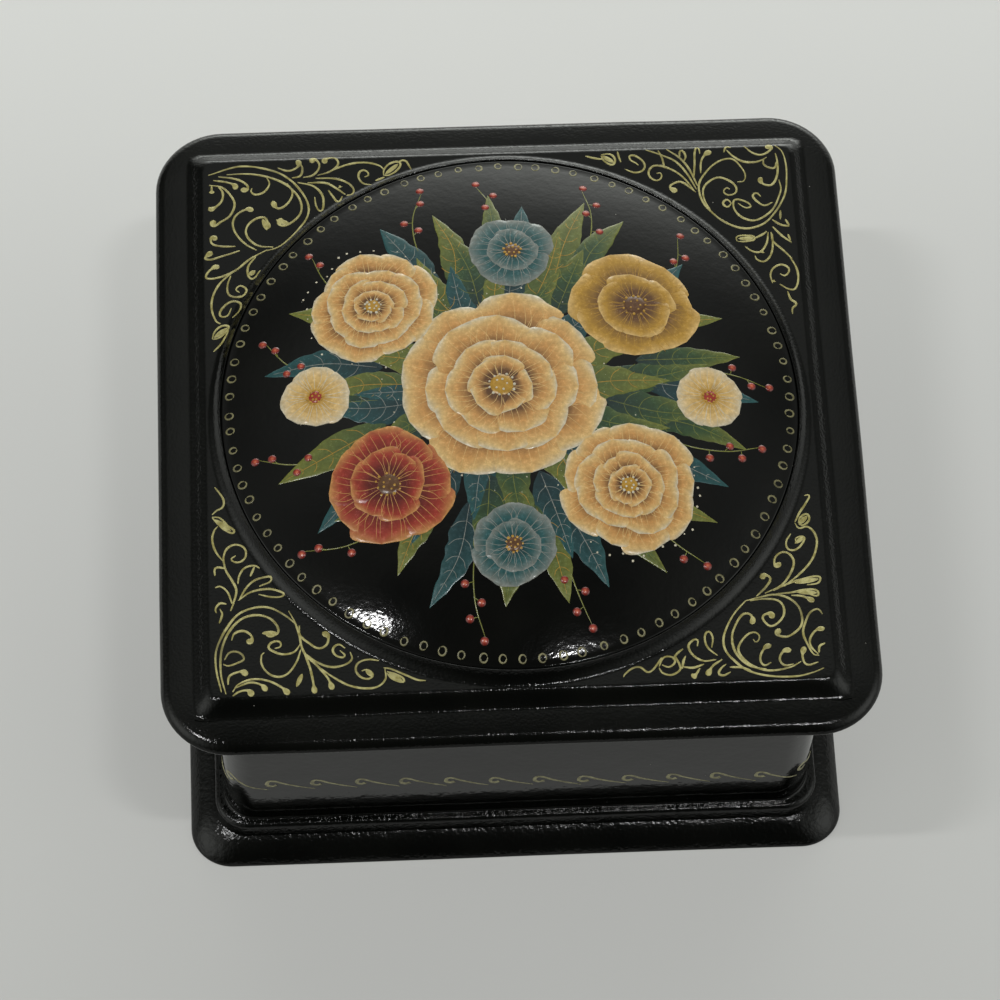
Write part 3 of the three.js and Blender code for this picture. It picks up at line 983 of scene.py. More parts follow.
def wall_scrolls():
    rng = random.Random(11)
    paint = Paint(wall_surface)
    for number in range(4 * SCROLLS_PER_SIDE):
        along = (number / SCROLLS_PER_SIDE - 0.5) * wall_side
        level = SCROLL_LEVEL - SCROLL_DIP * math.sin(math.pi * along / wall_side)
        size = rng.uniform(0.92, 1.06)
        lean = rng.uniform(-0.15, 0.15)
        knots = []
        for x, y in WALL_SCROLL:
            rise = lean * (x - SCROLL_MIDDLE) / SCROLL_REACH
            knots.append((along + x * size, level + y * size + rise))
        paint.stroke(smooth_path(knots), lambda t: WALL_LINE_HALF * (1 - t) ** 0.5)
    paint.piece("wall_scrolls", "base", "gold_paint", pale_gold)


# Bouquet

CREAM, PEACH, OCHRE = srgb(206, 174, 116), srgb(192, 142, 82), srgb(172, 132, 49)
BROWN, WHITE, GREY = srgb(92, 62, 38), srgb(196, 189, 169), srgb(133, 135, 130)
TEAL, DEEP_TEAL = srgb(38, 82, 84), srgb(17, 36, 42)
GREEN, OLIVE = srgb(50, 73, 43), srgb(114, 117, 50)
RED, DEEP_RED, BERRY_LIGHT = srgb(149, 50, 36), srgb(82, 22, 19), srgb(197, 107, 75)
FAMILIES = ("leaves", "veins", "warm_petals", "cool_petals", "red_petals", "hairlines", "dots", "stalks")
PETAL_CROWN = 0.016
PETAL_WIDEST = 0.62  # where a petal is widest, as a share of its length
LAYER = 0.012  # each layer of petals lies this much above the one below
FLOWER_LIFT = LINE_LIFT + 4 * LAYER  # flowers are painted over the leaves
BLADE_STEP = 0.35
HAIR_STEP = 0.25
HAIR_SPREAD = 0.78  # how far over a petal's half width its fine lines fan out
LARGE_RING = 5  # rings of petals with a larger radius have more fine lines
# Crowns of dots in a flower's heart: share of its radius, number, size of the dots and lift
HEART_DOTS = ((0.95, 11, 0.17, 0.05), (0.45, 5, 0.15, 0.08))
HEART_CROWN = 0.08
DOT_CROWN = 0.03
# Rings of petals: share of the flower's radius, number, where they start, fullness
ROSE_RINGS = ((1, 9, 0.3, 1.25), (0.75, 8, 0.15, 1.25), (0.52, 7, 0.1, 1.25), (0.31, 5, 0.05, 1.2))
OPEN_RINGS = ((1, 7, 0.2, 1.25), (0.62, 6, 0.1, 1.25))
SMALL_RINGS = ((1, 6, 0.15, 1.1),)
# Rings of leaves: number, distance of their roots and tips from the middle, half width
LEAF_RINGS = ((26, 15, 27.5, 2.1), (22, 11, 22.5, 2.3), (16, 5, 18, 2.4))
SIDE_VEINS = (0.2, 0.35, 0.5, 0.65, 0.78)  # where they leave the midrib
SPRAYS = 13
SPRAY_ROOT = 19
BERRIES = (0.45, 0.62, 0.8, 1)  # where they hang along a stalk
BERRY_RADIUS = 0.5
BERRY_CROWN = 0.1


def tone(*stops):
    """A colour at a share of the way through the given colours."""
    def at(t):
        place = min(max(t, 0), 1) * (len(stops) - 1)
        i = min(int(place), len(stops) - 2)
        return tuple(mix(a, b, place - i) for a, b in zip(stops[i], stops[i + 1]))
    return at


def petal_width(t):
    reach = 0.38 if t > PETAL_WIDEST else 0.72
    return math.sqrt(max(1 - ((t - PETAL_WIDEST) / reach) ** 2, 0))


def leaf_width(t):
    return math.sin(math.pi * min(t, 1) ** 0.8) ** 0.9 * (1 - 0.25 * t)


# The bouquet's flowers: where their hearts lie on the lid, and their radii
ROSES = ((-1, 0.5, 12), (13, -12.5, 8), (-15.5, 12, 7.5))
OCHRE_FLOWER = (15, 11, 7.2)
RED_FLOWER = (-14.5, -11.5, 7.2)
TEAL_FLOWERS = ((1, 19, 5), (-0.5, -19.5, 5))
SMALL_FLOWERS = ((-22.5, 0.5, 4), (23, -1, 4))
FLOWERS = (*ROSES, OCHRE_FLOWER, RED_FLOWER, *TEAL_FLOWERS, *SMALL_FLOWERS)


def is_under_flower(place, margin):
    return any((place - Vector((x, y))).length < radius + margin for x, y, radius in FLOWERS)


class Bouquet:
    """The painted flowers of the medallion, gathered into one piece for each family of colours."""

    def __init__(self):
        self.rng = random.Random(23)
        self.paint = {family: Paint(lid_surface) for family in FAMILIES}

    def blade(self, family, start, end, half, bend, shape, colour, lift):
        """A petal or leaf from its root to its tip, bowed to one side. Gives its middle line."""
        across = Vector((start.y - end.y, end.x - start.x)) * bend
        path = smooth_path((start, start.lerp(end, 0.5) + across, end), BLADE_STEP)

        def tint(t, k):
            return colour(t * (1 - 0.25 * (1 - abs(k))) + 0.1 * abs(k))
        self.paint[family].stroke(path, lambda t: half * shape(t), lift, PETAL_CROWN, tint, WIDE_ACROSS)
        return path

    def line(self, family, knots, half, colour, lift):
        path = smooth_path(knots, HAIR_STEP)
        self.paint[family].stroke(
            path, brush_line(half), lift, HAIR_CROWN, lambda t, k: colour, HAIR_ACROSS)

    def hairs(self, path, half, count, colour, lift):
        """Fine lines that fan out over a petal from its root."""
        start, end = path[0], path[-1]
        across = Vector((start.y - end.y, end.x - start.x)).normalized()
        middle = path[len(path) // 2]
        for number in range(count):
            k = mix(-HAIR_SPREAD, HAIR_SPREAD, number / (count - 1)) + self.rng.uniform(-0.08, 0.08)
            reach = mix(0.93, 0.74, k * k) + self.rng.uniform(-0.06, 0.03)
            knots = (
                start.lerp(middle, 0.25) + across * k * half * 0.3,
                middle + across * k * half * 0.85,
                start.lerp(end, reach) + across * k * half * 0.92,
            )
            self.line("hairlines", knots, HAIR_HALF, colour, lift + PETAL_CROWN)

    def petals(self, family, centre, radius, count, turn, inner, fullness, colour, hair, lift):
        """One ring of petals, each with its fan of fine lines."""
        for number in range(count):
            angle = turn + (number + self.rng.uniform(-0.12, 0.12)) / count * 2 * math.pi
            reach = radius * self.rng.uniform(0.92, 1.06)
            half = radius * math.pi / count * fullness
            height = lift + number / count * LAYER
            start, end = centre + heading(angle) * reach * inner, centre + heading(angle) * reach
            bend = self.rng.uniform(-0.07, 0.07)
            path = self.blade(family, start, end, half, bend, petal_width, colour, height)
            self.hairs(path, half, 7 if radius > LARGE_RING else 5, hair, height)

    def crown_of_dots(self, centre, radius, count, size, colour, lift):
        for number in range(count):
            angle = (number + self.rng.uniform(-0.2, 0.2)) / count * 2 * math.pi
            place = centre + heading(angle) * radius * self.rng.uniform(0.9, 1.1)
            dot = size * self.rng.uniform(0.75, 1.2)
            self.paint["dots"].bead(place, dot, lift, DOT_CROWN, lambda share: colour)

    def heart(self, centre, radius, ground, dots, lift):
        self.paint["dots"].bead(centre, radius, lift, HEART_CROWN, lambda share: ground)
        for share, count, size, rise in HEART_DOTS:
            self.crown_of_dots(centre, radius * share, count, size, dots, lift + rise)

    def flower(self, family, place, rings, ring_turn, colour, hair, heart):
        """Rings of petals, each turned against the one below it, and a dotted heart."""
        x, y, radius = place
        centre, turn = Vector((x, y)), self.rng.uniform(0, 6)
        for layer, (share, count, inner, fullness) in enumerate(rings):
            lift = FLOWER_LIFT + layer * 2 * LAYER
            ring = (radius * share, count, turn + layer * ring_turn, inner, fullness)
            self.petals(family, centre, *ring, colour, hair, lift)
        heart_share, ground, dots = heart
        self.heart(centre, radius * heart_share, ground, dots, FLOWER_LIFT + len(rings) * 2 * LAYER)

    def rose(self, place):
        """A full rose, whose petals lighten towards their edges, in a ring of white dots."""
        colour = tone(BROWN, BROWN, BROWN, PEACH, CREAM, WHITE)
        self.flower("warm_petals", place, ROSE_RINGS, 1, colour, CREAM, (0.13, OCHRE, WHITE))
        x, y, radius = place
        self.crown_of_dots(Vector((x, y)), radius * 1.05, int(radius * 5), 0.13, WHITE, LINE_LIFT)

    def open_flower(self, family, place, colour, hair):
        self.flower(family, place, OPEN_RINGS, 0.4, colour, hair, (0.2, BROWN, OCHRE))

    def small_flower(self, place):
        colour = tone(OCHRE, CREAM, WHITE)
        self.flower("warm_petals", place, SMALL_RINGS, 0, colour, WHITE, (0.22, RED, OCHRE))

    def leaf(self, angle, inner, outer, half, colour, vein, lift):
        """A leaf that points outward, with a midrib and side veins."""
        aim = angle + self.rng.uniform(-0.1, 0.1)
        start, end = heading(angle) * inner, heading(aim) * outer
        bend = self.rng.uniform(-0.1, 0.1)
        path = self.blade("leaves", start, end, half, bend, leaf_width, colour, lift)
        lift += PETAL_CROWN
        ribs = [path[int(t * (len(path) - 1))] for t in (0.05, 0.5, 0.94)]
        self.line("veins", ribs, HAIR_HALF * 1.2, vein, lift)
        onward = (end - start).normalized()
        across = Vector((-onward.y, onward.x))
        for t in SIDE_VEINS:
            root = path[int(t * (len(path) - 1))]
            span = half * leaf_width(t + 0.12) * 0.85
            for side in (-1, 1):
                tip = root + onward * span * 0.9 + across * side * span
                bow = root + onward * span * 0.3 + across * side * span * 0.6
                self.line("veins", (root, bow, tip), HAIR_HALF, vein, lift)

    def leaves(self):
        greens = (tone(DEEP_TEAL, TEAL), tone(DEEP_TEAL, GREEN, OLIVE), tone(GREEN, OLIVE))
        veins = (GREY, OLIVE, OCHRE)
        for ring, (count, inner, outer, half) in enumerate(LEAF_RINGS):
            lift = LINE_LIFT + ring * LAYER / 2
            for number in range(count):
                kind = (number + ring) % len(greens)
                angle = (number + ring / 2) / count * 2 * math.pi + self.rng.uniform(-0.05, 0.05)
                reach, size = self.rng.uniform(0.93, 1.05), self.rng.uniform(0.85, 1.15)
                self.leaf(angle, inner, outer * reach, half * size, greens[kind], veins[kind], lift)

    def spray(self, angle, outer, curl):
        """A thin stalk with berries along it, left and right in turn and one at its tip."""
        knots = [heading(angle + curl * t * t) * mix(SPRAY_ROOT, outer, t) for t in (0, 0.35, 0.7, 1)]
        self.line("stalks", knots, HAIR_HALF * 1.3, OLIVE, LINE_LIFT)
        path = smooth_path(knots)
        berry = tone(BERRY_LIGHT, RED, DEEP_RED)
        for number, t in enumerate(BERRIES):
            root = path[int(t * (len(path) - 1))]
            aside = 0 if t == 1 else 0.9 if number % 2 else -0.9
            place = root + heading(angle + math.pi / 2) * aside + heading(angle) * 0.4
            if is_under_flower(place, BERRY_RADIUS):
                continue
            self.line("stalks", (root, root.lerp(place, 0.5), place), HAIR_HALF, OLIVE, LINE_LIFT)
            self.paint["red_petals"].bead(place, BERRY_RADIUS, LINE_LIFT + 0.02, BERRY_CROWN, berry)

    def sprays(self):
        for number in range(SPRAYS):
            angle = (number + 0.25) / SPRAYS * 2 * math.pi
            self.spray(angle, self.rng.uniform(29, 30.5), self.rng.uniform(-0.2, 0.2))

    def finish(self):
        for family, paint in self.paint.items():
            paint.piece("bouquet_" + family, "lid", "coloured_paint", colours)


def bouquet():
    made = Bouquet()
    made.leaves()
    made.sprays()
    for place in ROSES:
        made.rose(place)
    made.open_flower("warm_petals", OCHRE_FLOWER, tone(BROWN, BROWN, OCHRE, CREAM), OCHRE)
    made.open_flower("red_petals", RED_FLOWER, tone(DEEP_RED, DEEP_RED, RED, PEACH), PEACH)
    for place in TEAL_FLOWERS:
        made.open_flower("cool_petals", place, tone(DEEP_TEAL, TEAL, GREY), GREY)
    for place in SMALL_FLOWERS:
        made.small_flower(place)
    made.finish()


# Gold scrolls in the corners of the panel: brush lines through listed points, drops, which are lines
# that end in a round bead of paint, and fills, where a bud or leaf is painted full between two points. The
# points count outward from the middle of the lid, sideways and then towards the front or back.
BACK_LEFT_LINES = (
    ((34.6, 33.5), (30.7, 34.6), (26.8, 33.8), (24.7, 32.4), (23.2, 30.3), (22.65, 28.6), (22.9, 27.2),
     (23.8, 25.8), (25.3, 24.1), (26.5, 23.2), (27.8, 22.8)),
    ((27.6, 32.9), (27.3, 32), (28, 30.9), (29, 30.6), (29.5, 31), (29.4, 31.5)),
    ((29.1, 22), (30, 20.75), (30.05, 19.5), (29.5, 19), (28.6, 20.1)),
    ((32, 19.9), (33.4, 18.5), (34.25, 16.75), (34.4, 15), (33.9, 13.4), (33.4, 13.05)),
    ((32.1, 19.5), (32.5, 18.25), (32.4, 17), (31.6, 16.6), (30.6, 16.8), (30.3, 17.6), (31, 18.1),
     (31.5, 17.6), (31.1, 17.2)),
    ((32, 13.75), (31.1, 14.6), (31.1, 15.75), (32.1, 16), (33.25, 15), (33.4, 14.1), (32.6, 14.1),
     (32.1, 15.1)),
    ((34.4, 11), (34.1, 12), (33.25, 12.75), (32.45, 12.6), (32.9, 11.75), (33.75, 11.1), (34.3, 11)),
    ((32.45, 12), (33.25, 10.5), (34.3, 9.3)),
    ((24.6, 32.75), (23.6, 33), (23.3, 34), (23.6, 34.9)),
    ((20.5, 33.25), (19, 34), (17.25, 34.55), (15.5, 34.6), (14, 34.1), (13.5, 33.5)),
    ((13.6, 32.75), (13.5, 33.6), (12.75, 34.4), (11.6, 34.5), (11.9, 33.5), (13, 32.75), (13.6, 32.8)),
    ((14.6, 32.05), (13.5, 32.5)),
    ((12, 34.5), (11, 34.75), (10.4, 33.75), (10.25, 33.4)),
    ((15.1, 31.45), (16.1, 31.75), (16.6, 32.6), (16.4, 33.4), (15.75, 33.5), (15.4, 32.9), (15.9, 32.6)),
    ((23.9, 32.1), (22, 31.5), (21, 30.25), (20.9, 28.75), (21.25, 28.05), (21.75, 28.75), (21.9, 30)),
    ((22.75, 32), (20.5, 31.9), (19.25, 31.1), (18.25, 30.25)),
    ((20.25, 30.9), (19.7, 30), (19.1, 29.25), (18.6, 30)),
    ((21.75, 32.6), (19.5, 32.5), (18, 31.9), (17.25, 31), (17.4, 30.25), (18.1, 30.1)),
)
BACK_LEFT_DROPS = (
    ((32.4, 33.5), (29.75, 33.5), (27.5, 33), (25.5, 32), (24.1, 30.5), (23.55, 29.2), (23.6, 28),
     (24.25, 27), (25.5, 26.2), (26.2, 26.4), (25.9, 27.2)),
    ((25.2, 32), (24.6, 31), (24.7, 30), (25.5, 28.9), (26.4, 28.6), (27, 29.6)),
    ((33.4, 33.25), (31.5, 32.9), (30.25, 32.25), (29.9, 31.5), (30.75, 31.25)),
    ((34, 32.75), (32.25, 32.4), (31.4, 31.9), (31.5, 31.4)),
    ((34.5, 32.1), (33, 31.75), (31.9, 30.5), (31.5, 29.25), (32.1, 27.75), (33.25, 26.9), (34, 26.5),
     (34.05, 27.25)),
    ((33.5, 32), (32.9, 31), (33.1, 29.75), (34.25, 28.75), (34.6, 29)),
    ((34.2, 32), (34.2, 30.9)),
    ((29, 22.9), (30.25, 23.75), (31.4, 25.25), (31.75, 26.75), (31.25, 27.9), (30, 28.6), (29.25, 28.4)),
    ((27, 23.25), (28.75, 23.5), (29.9, 24.5), (30.2, 25.75), (29.5, 26.9), (28.1, 27.4), (27.6, 26.5),
     (27.8, 25.75)),
    ((31.5, 23.5), (33.25, 23.6), (34.25, 24), (34.25, 24.75), (33.6, 24.6)),
    ((31, 22.9), (33, 22.25), (35, 21.9), (34.25, 22.9)),
    ((27.75, 22.9), (29.75, 21.75), (31.5, 20.25), (33.25, 19.4), (34.9, 19.25), (34.9, 19.9), (34, 20.75),
     (33.4, 20.75)),
    ((26.25, 34.2), (25, 33.75), (23.9, 34.25), (23.75, 34.9), (24.1, 35)),
    ((23.25, 32.75), (22, 33.1), (21.25, 34.25), (21.75, 35.25), (22.4, 34.9)),
    ((21.5, 33), (20, 33.5), (19, 34.5), (19.4, 35.4), (20.5, 35.25), (20.6, 34.6)),
    ((18.9, 31.5), (18.8, 31.2)),
)
BACK_LEFT_FILLS = (
    ((13.4, 32.9), (11.8, 34.3)),
    ((34.2, 11.2), (32.6, 12.5)),
    ((30, 19.5), (29.2, 20.1)),
    ((26.6, 27), (25, 26.4)),
    ((28.2, 27.2), (27.7, 25.6)),
)
BACK_RIGHT_LINES = (
    ((33.6, 35.4), (34.4, 34.5), (34.75, 32.75), (34.7, 30.75), (34.4, 28.75), (33.75, 27.25),
     (32.75, 25.75), (31.5, 24.5), (29.75, 23.9), (28.25, 24.1), (26.5, 25.1), (25.25, 26.4), (24.5, 27.5),
     (24.1, 28.75), (24.1, 30.25), (24.75, 31.5), (26, 32.9), (27.25, 33.6), (28.4, 33.6), (29.25, 32.6),
     (29.75, 31.4), (29.5, 30.5), (28.75, 30.4)),
    ((25.25, 26.5), (24.6, 28), (24.55, 29.5), (25.25, 30.5), (26.5, 31.1), (27.75, 30.6), (28.5, 29.75),
     (28.4, 28.9), (27.5, 28.6), (27, 29.1), (27.4, 29.6), (27.75, 29.4)),
    ((33.75, 30.5), (33.9, 29.25), (33.5, 28), (32.75, 26.5), (31.5, 25.4), (30.25, 24.95), (29, 25.4),
     (28.25, 26.25), (28, 27.25), (28.25, 27.9), (29.25, 27.75), (30.1, 27), (29.5, 26.75), (28.6, 27.4)),
    ((27.8, 27.45), (27.3, 27.95), (26.8, 27.45), (27.3, 26.95), (27.8, 27.45)),
    ((32.75, 27.4), (31.75, 27), (30.9, 27.6), (30.45, 28.4), (30.9, 28.75), (31.4, 28.25)),
    ((27.4, 34.6), (27.75, 35.4), (28.25, 35.25)),
    ((27.75, 34.9), (28.5, 34), (29.6, 33.25), (31, 33.1), (32, 33.4), (32.5, 33.75)),
    ((32.1, 33.5), (32.1, 32.75), (32.75, 32.25), (33.4, 32.25), (33.6, 33)),
    ((23.6, 29.1), (22.25, 31.25), (20.75, 32.5), (19, 33), (18.25, 32.4), (18.25, 31.5), (19, 30.9),
     (19.6, 31.25), (19.6, 31.9), (19.1, 31.9)),
    ((23.75, 29.5), (22.75, 31.75), (21.5, 33.5), (19.75, 34.5), (18, 35.25)),
    ((20.1, 32.6), (19.9, 34), (19.5, 35.1)),
    ((23.9, 30), (23, 32.5), (22, 34), (20.5, 35.25)),
    ((22, 34), (22.25, 35), (22.75, 34.25), (22.5, 33.5)),
    ((23.5, 31), (23.75, 33), (23.9, 34.75), (24.25, 35.4), (24.5, 34.5)),
    ((15.4, 32.6), (16.5, 32.1), (17.5, 32.4), (17.75, 33.25), (17, 34.25), (16.1, 34.5), (16.1, 33.9),
     (16.75, 33.4), (17, 33.1)),
    ((12.6, 34.75), (13.75, 34.75), (14.25, 34), (13.9, 33.3), (12.9, 33.9), (12.6, 34.6)),
    ((10.75, 34.6), (11.9, 34.25), (12.75, 34.1)),
    ((14.6, 35.1), (14.75, 34.25), (14.95, 33.6)),
    ((33.6, 26.25), (33.5, 25)),
    ((32.5, 25), (33.5, 24.25), (34.5, 24)),
    ((34.1, 25), (34.5, 24.1)),
    ((32.5, 24), (33.5, 22.75), (34.6, 21.75)),
    ((34.25, 22.9), (34.5, 22)),
    ((32.25, 23.25), (32.4, 22), (33.5, 20.75), (34.5, 19.5)),
    ((28.1, 22.1), (28.1, 22.75), (29.25, 22.9), (30.25, 22.5), (29.25, 22.1), (28.2, 22.1)),
    ((30.25, 22.5), (31.25, 23), (31.75, 23.4)),
    ((31.9, 23.25), (31.6, 21.75), (30.75, 20.6), (29.75, 20.75), (29, 21.4)),
    ((32.4, 23), (32.25, 21), (31.75, 19.75), (31, 19.25), (30.25, 19.6), (30.1, 20.1)),
    ((34.25, 19.75), (34.9, 18.25), (35, 16.75), (34.5, 15.4), (33.75, 15.4), (32.75, 16.1)),
    ((31.9, 16.25), (31.75, 17.5), (32.25, 18.4), (33.25, 18.75), (34, 18.1), (33.5, 17.25), (32.9, 17.5)),
    ((33.6, 15.1), (33.9, 14), (34.5, 13.4), (34, 12.75), (33.95, 12)),
)
BACK_RIGHT_DROPS = (
    ((33.6, 34.25), (33.75, 33), (33.6, 31.25), (32.9, 29.9), (32, 29.9), (31.5, 30.5), (31.75, 30.9)),
    ((29.9, 35.4), (30.75, 34.5), (31.75, 34.1), (32.75, 34.5), (33.1, 35.1), (32.4, 35.2)),
    ((23.5, 29.25), (22, 30.6), (21, 30.4), (20.6, 29.9), (21.4, 29.25)),
    ((24.4, 31.75), (24.6, 33.5), (25.25, 34.5), (25.9, 34.75)),
    ((31.05, 20.7), (31, 20.4)),
    ((32.1, 16.7), (32.05, 16.4)),
)
BACK_RIGHT_FILLS = (
    ((12.7, 34.6), (14.1, 33.6)),
    ((28.3, 22.5), (30.1, 22.5)),
)
FRONT_LEFT_LINES = (
    ((34, 34.5), (34.5, 32), (34.6, 30), (34.25, 28.5), (33.4, 26.75), (32, 24.9), (30.25, 24.1),
     (28.5, 24.1), (27, 24.9), (25.75, 26), (25.25, 26.75)),
    ((33.6, 30.5), (33, 29.6), (32, 29.6), (31.4, 30.4), (32.1, 30.9), (33.25, 31.25), (33.75, 31)),
    ((25, 29.5), (25.5, 31), (26.5, 32.4), (27.5, 32.8), (28.6, 32.4), (29.4, 31.25), (29.4, 30),
     (29.1, 29.75)),
    ((25, 28.75), (25.75, 29.75), (27, 30), (28.1, 29.6), (28.6, 29.1), (28.25, 28.5), (27.4, 28.4),
     (27.25, 29), (27.9, 29.25)),
    ((24.5, 30), (23.25, 31.1), (21.75, 31.75), (20.25, 31.6), (19.3, 30.9), (19.45, 30)),
    ((20, 29.5), (20.75, 29), (21.4, 29.6), (21, 30.4), (20.1, 30.5), (20.6, 29.75)),
    ((23, 31.75), (21.5, 33), (19.75, 34.1), (18, 34.55), (16.5, 34.4), (15.6, 33.5), (15.6, 32.25)),
    ((16.25, 31.2), (17.5, 31), (18.6, 31.4), (18.9, 32.25), (18.4, 33.1), (17.5, 33.4), (17, 32.9),
     (17.6, 32.25), (18.25, 32.4)),
    ((15.75, 32.1), (15, 32.25), (13.5, 33), (12, 33.75), (11.05, 33.9)),
    ((15.4, 32.6), (14.5, 32.9), (13.6, 33.5), (13.6, 33.95), (14.75, 33.55), (15.4, 32.8)),
    ((33.5, 18), (33.25, 19.25), (32.6, 20.5), (32.1, 21.75), (32.4, 23.25), (32.8, 24.4)),
    ((33.25, 19.25), (33.5, 17.75), (33.1, 16.5), (32.1, 16), (31.1, 16.5), (31, 17.6), (31.75, 18.25),
     (32.6, 17.9), (32.1, 17.4)),
    ((31.9, 21), (31.75, 20), (31.1, 19), (30, 18.75), (29.4, 19.1)),
    ((30, 18.9), (30.5, 20.1)),
    ((31.75, 22.9), (30.75, 21.25), (29.5, 20.4), (28.1, 20.5), (29.5, 21.4)),
    ((31.9, 23.1), (30.5, 22.1), (28.5, 21.75), (27.25, 22.1), (26.75, 22.6), (28, 22.8), (29.6, 22.4)),
    ((33.25, 19), (34.4, 18.9), (34.5, 19.9)),
    ((32.6, 23.5), (33.1, 22), (33.9, 21.25), (34.5, 21.4)),
    ((33.25, 23.5), (34, 23.4), (34.5, 24.1), (34.4, 24.6)),
    ((34, 24.1), (33.75, 24.75), (34.1, 25.9)),
    ((33.6, 18), (34.4, 16.75), (34.75, 15.25), (34.5, 14.1), (34.1, 13.6)),
    ((34.75, 12.4), (33.9, 12.5), (33, 13.5), (32.25, 14.4), (33.25, 14.1), (34.1, 13.25), (34.7, 12.5)),
    ((34.75, 12.1), (34.25, 11.6), (33.5, 11.1), (33.4, 10.25), (33.9, 9.25), (34.4, 8.55)),
)
FRONT_LEFT_DROPS = (
    ((33.5, 34.75), (34, 32.5), (34, 30), (33.6, 28.25), (32.75, 26.6), (31.5, 25.4), (30, 25),
     (28.5, 25.4), (27.6, 26.4), (27.5, 27.25), (28.1, 27.6), (28.9, 27.25)),
    ((32.75, 28.1), (32.4, 27.25), (31.4, 26.95), (30.5, 27.6), (30.6, 28.25), (31.1, 28.2)),
    ((33.25, 33.6), (33.1, 32.6), (32.25, 32.1), (31.4, 32.1), (31.3, 32.6)),
    ((32.75, 34.5), (32.1, 33.6), (30.5, 33), (28.75, 33.25), (27.25, 34.1), (26.4, 35)),
    ((32.4, 34), (30.75, 33.4), (29.5, 33.75), (28.9, 34.5)),
    ((32.75, 35), (32, 34.5), (31, 34.4), (30.5, 35.1)),
    ((26.25, 24.6), (25.6, 26), (25.1, 27.75), (24.9, 29.1), (24.4, 30.25), (23.25, 31.5), (22, 33.25),
     (21.55, 34.6)),
    ((25.1, 26.5), (25, 27.75), (24, 28.75), (23, 29.4), (22.1, 29), (21.9, 28), (22.5, 27.4)),
    ((24.75, 29.6), (24.1, 31.5), (23.75, 33.25), (23.55, 35)),
)
FRONT_LEFT_FILLS = (
    ((24.9, 32.5), (25.6, 34.1)),
    ((15.2, 32.8), (13.7, 33.8)),
    ((34.4, 12.7), (32.6, 14.2)),
    ((27.6, 27.3), (29.3, 27.3)),
    ((17.8, 32.3), (17, 33.1)),
)
FRONT_RIGHT_LINES = (
    ((25.75, 25.25), (24.5, 26.6), (23.5, 28.25), (22.9, 30), (23.1, 31.5), (24, 32.75), (25.25, 33.9),
     (27, 34.6), (29, 34.9), (31, 34.9), (32.75, 34.5), (34, 34)),
    ((26.25, 30.1), (26.6, 30.5), (27, 29.75), (26.4, 29.25), (25.4, 29.75), (24.5, 31.25), (25, 32.5),
     (26.25, 33.6), (28, 34.1), (30.25, 33.75), (31.5, 33.1)),
    ((34.4, 27.25), (33.9, 26.6), (33, 27), (32.4, 28.1), (32, 29.5), (32.4, 31), (33, 32.25),
     (33.6, 32.4)),
    ((34.4, 30.9), (33.75, 31.25), (33.6, 32.1)),
    ((29, 24.1), (30.75, 23.25), (32.5, 22.75), (34.4, 22.5), (34.25, 23.25), (32.9, 23.5)),
    ((29.25, 24.5), (31, 24.4), (32.75, 24.1), (34, 24.25), (34, 24.9), (32.75, 24.5)),
    ((30.25, 23.6), (32.25, 22), (33.75, 20.25), (34.45, 18.25), (34.25, 16.9), (33.5, 16.1), (32.5, 16.25),
     (32.1, 15.6)),
    ((32.5, 15.6), (32.75, 14.9), (33.6, 14.5), (33.75, 15.25), (33, 15.9), (32.5, 15.7)),
    ((32.1, 15.5), (32.75, 14.25), (33.6, 13), (34, 12.1), (33.45, 12.1)),
    ((31.5, 16.95), (30.9, 18), (31.1, 18.9), (32, 18.95), (32.9, 18), (33, 17.4), (32.1, 17.5), (32, 18)),
    ((25.75, 34), (24.75, 33.6), (23.4, 33.5)),
    ((23, 33.1), (22.4, 33.6), (22.1, 34.25), (22.6, 34.5), (23.45, 34.1)),
    ((21.9, 32.5), (20.5, 32.6), (19.4, 31.9), (18.9, 30.9), (19.1, 30.25), (19.9, 29.9), (19.9, 30.75)),
    ((22.1, 32), (21.1, 31), (20.8, 29.75), (21.25, 28.95), (21.7, 29.75), (21.5, 31)),
    ((20.5, 33), (19.25, 33.4), (18.1, 33.25)),
    ((15.4, 33.1), (16, 32), (17, 32), (17.25, 32.6), (16.5, 33.2), (15.75, 32.9)),
    ((17.25, 31.75), (17.75, 33), (17.75, 33.6), (16.75, 34.2), (15.75, 33.9), (15.4, 33.25)),
    ((17, 32.25), (17.6, 31.5), (18.25, 31)),
    ((18, 33.5), (18.25, 32.4), (18.5, 31.9)),
    ((15.75, 32), (14.75, 33.4), (14.1, 33.75), (13.25, 33.1), (12.4, 33.2), (11.5, 33.9), (11.3, 34.25)),
)
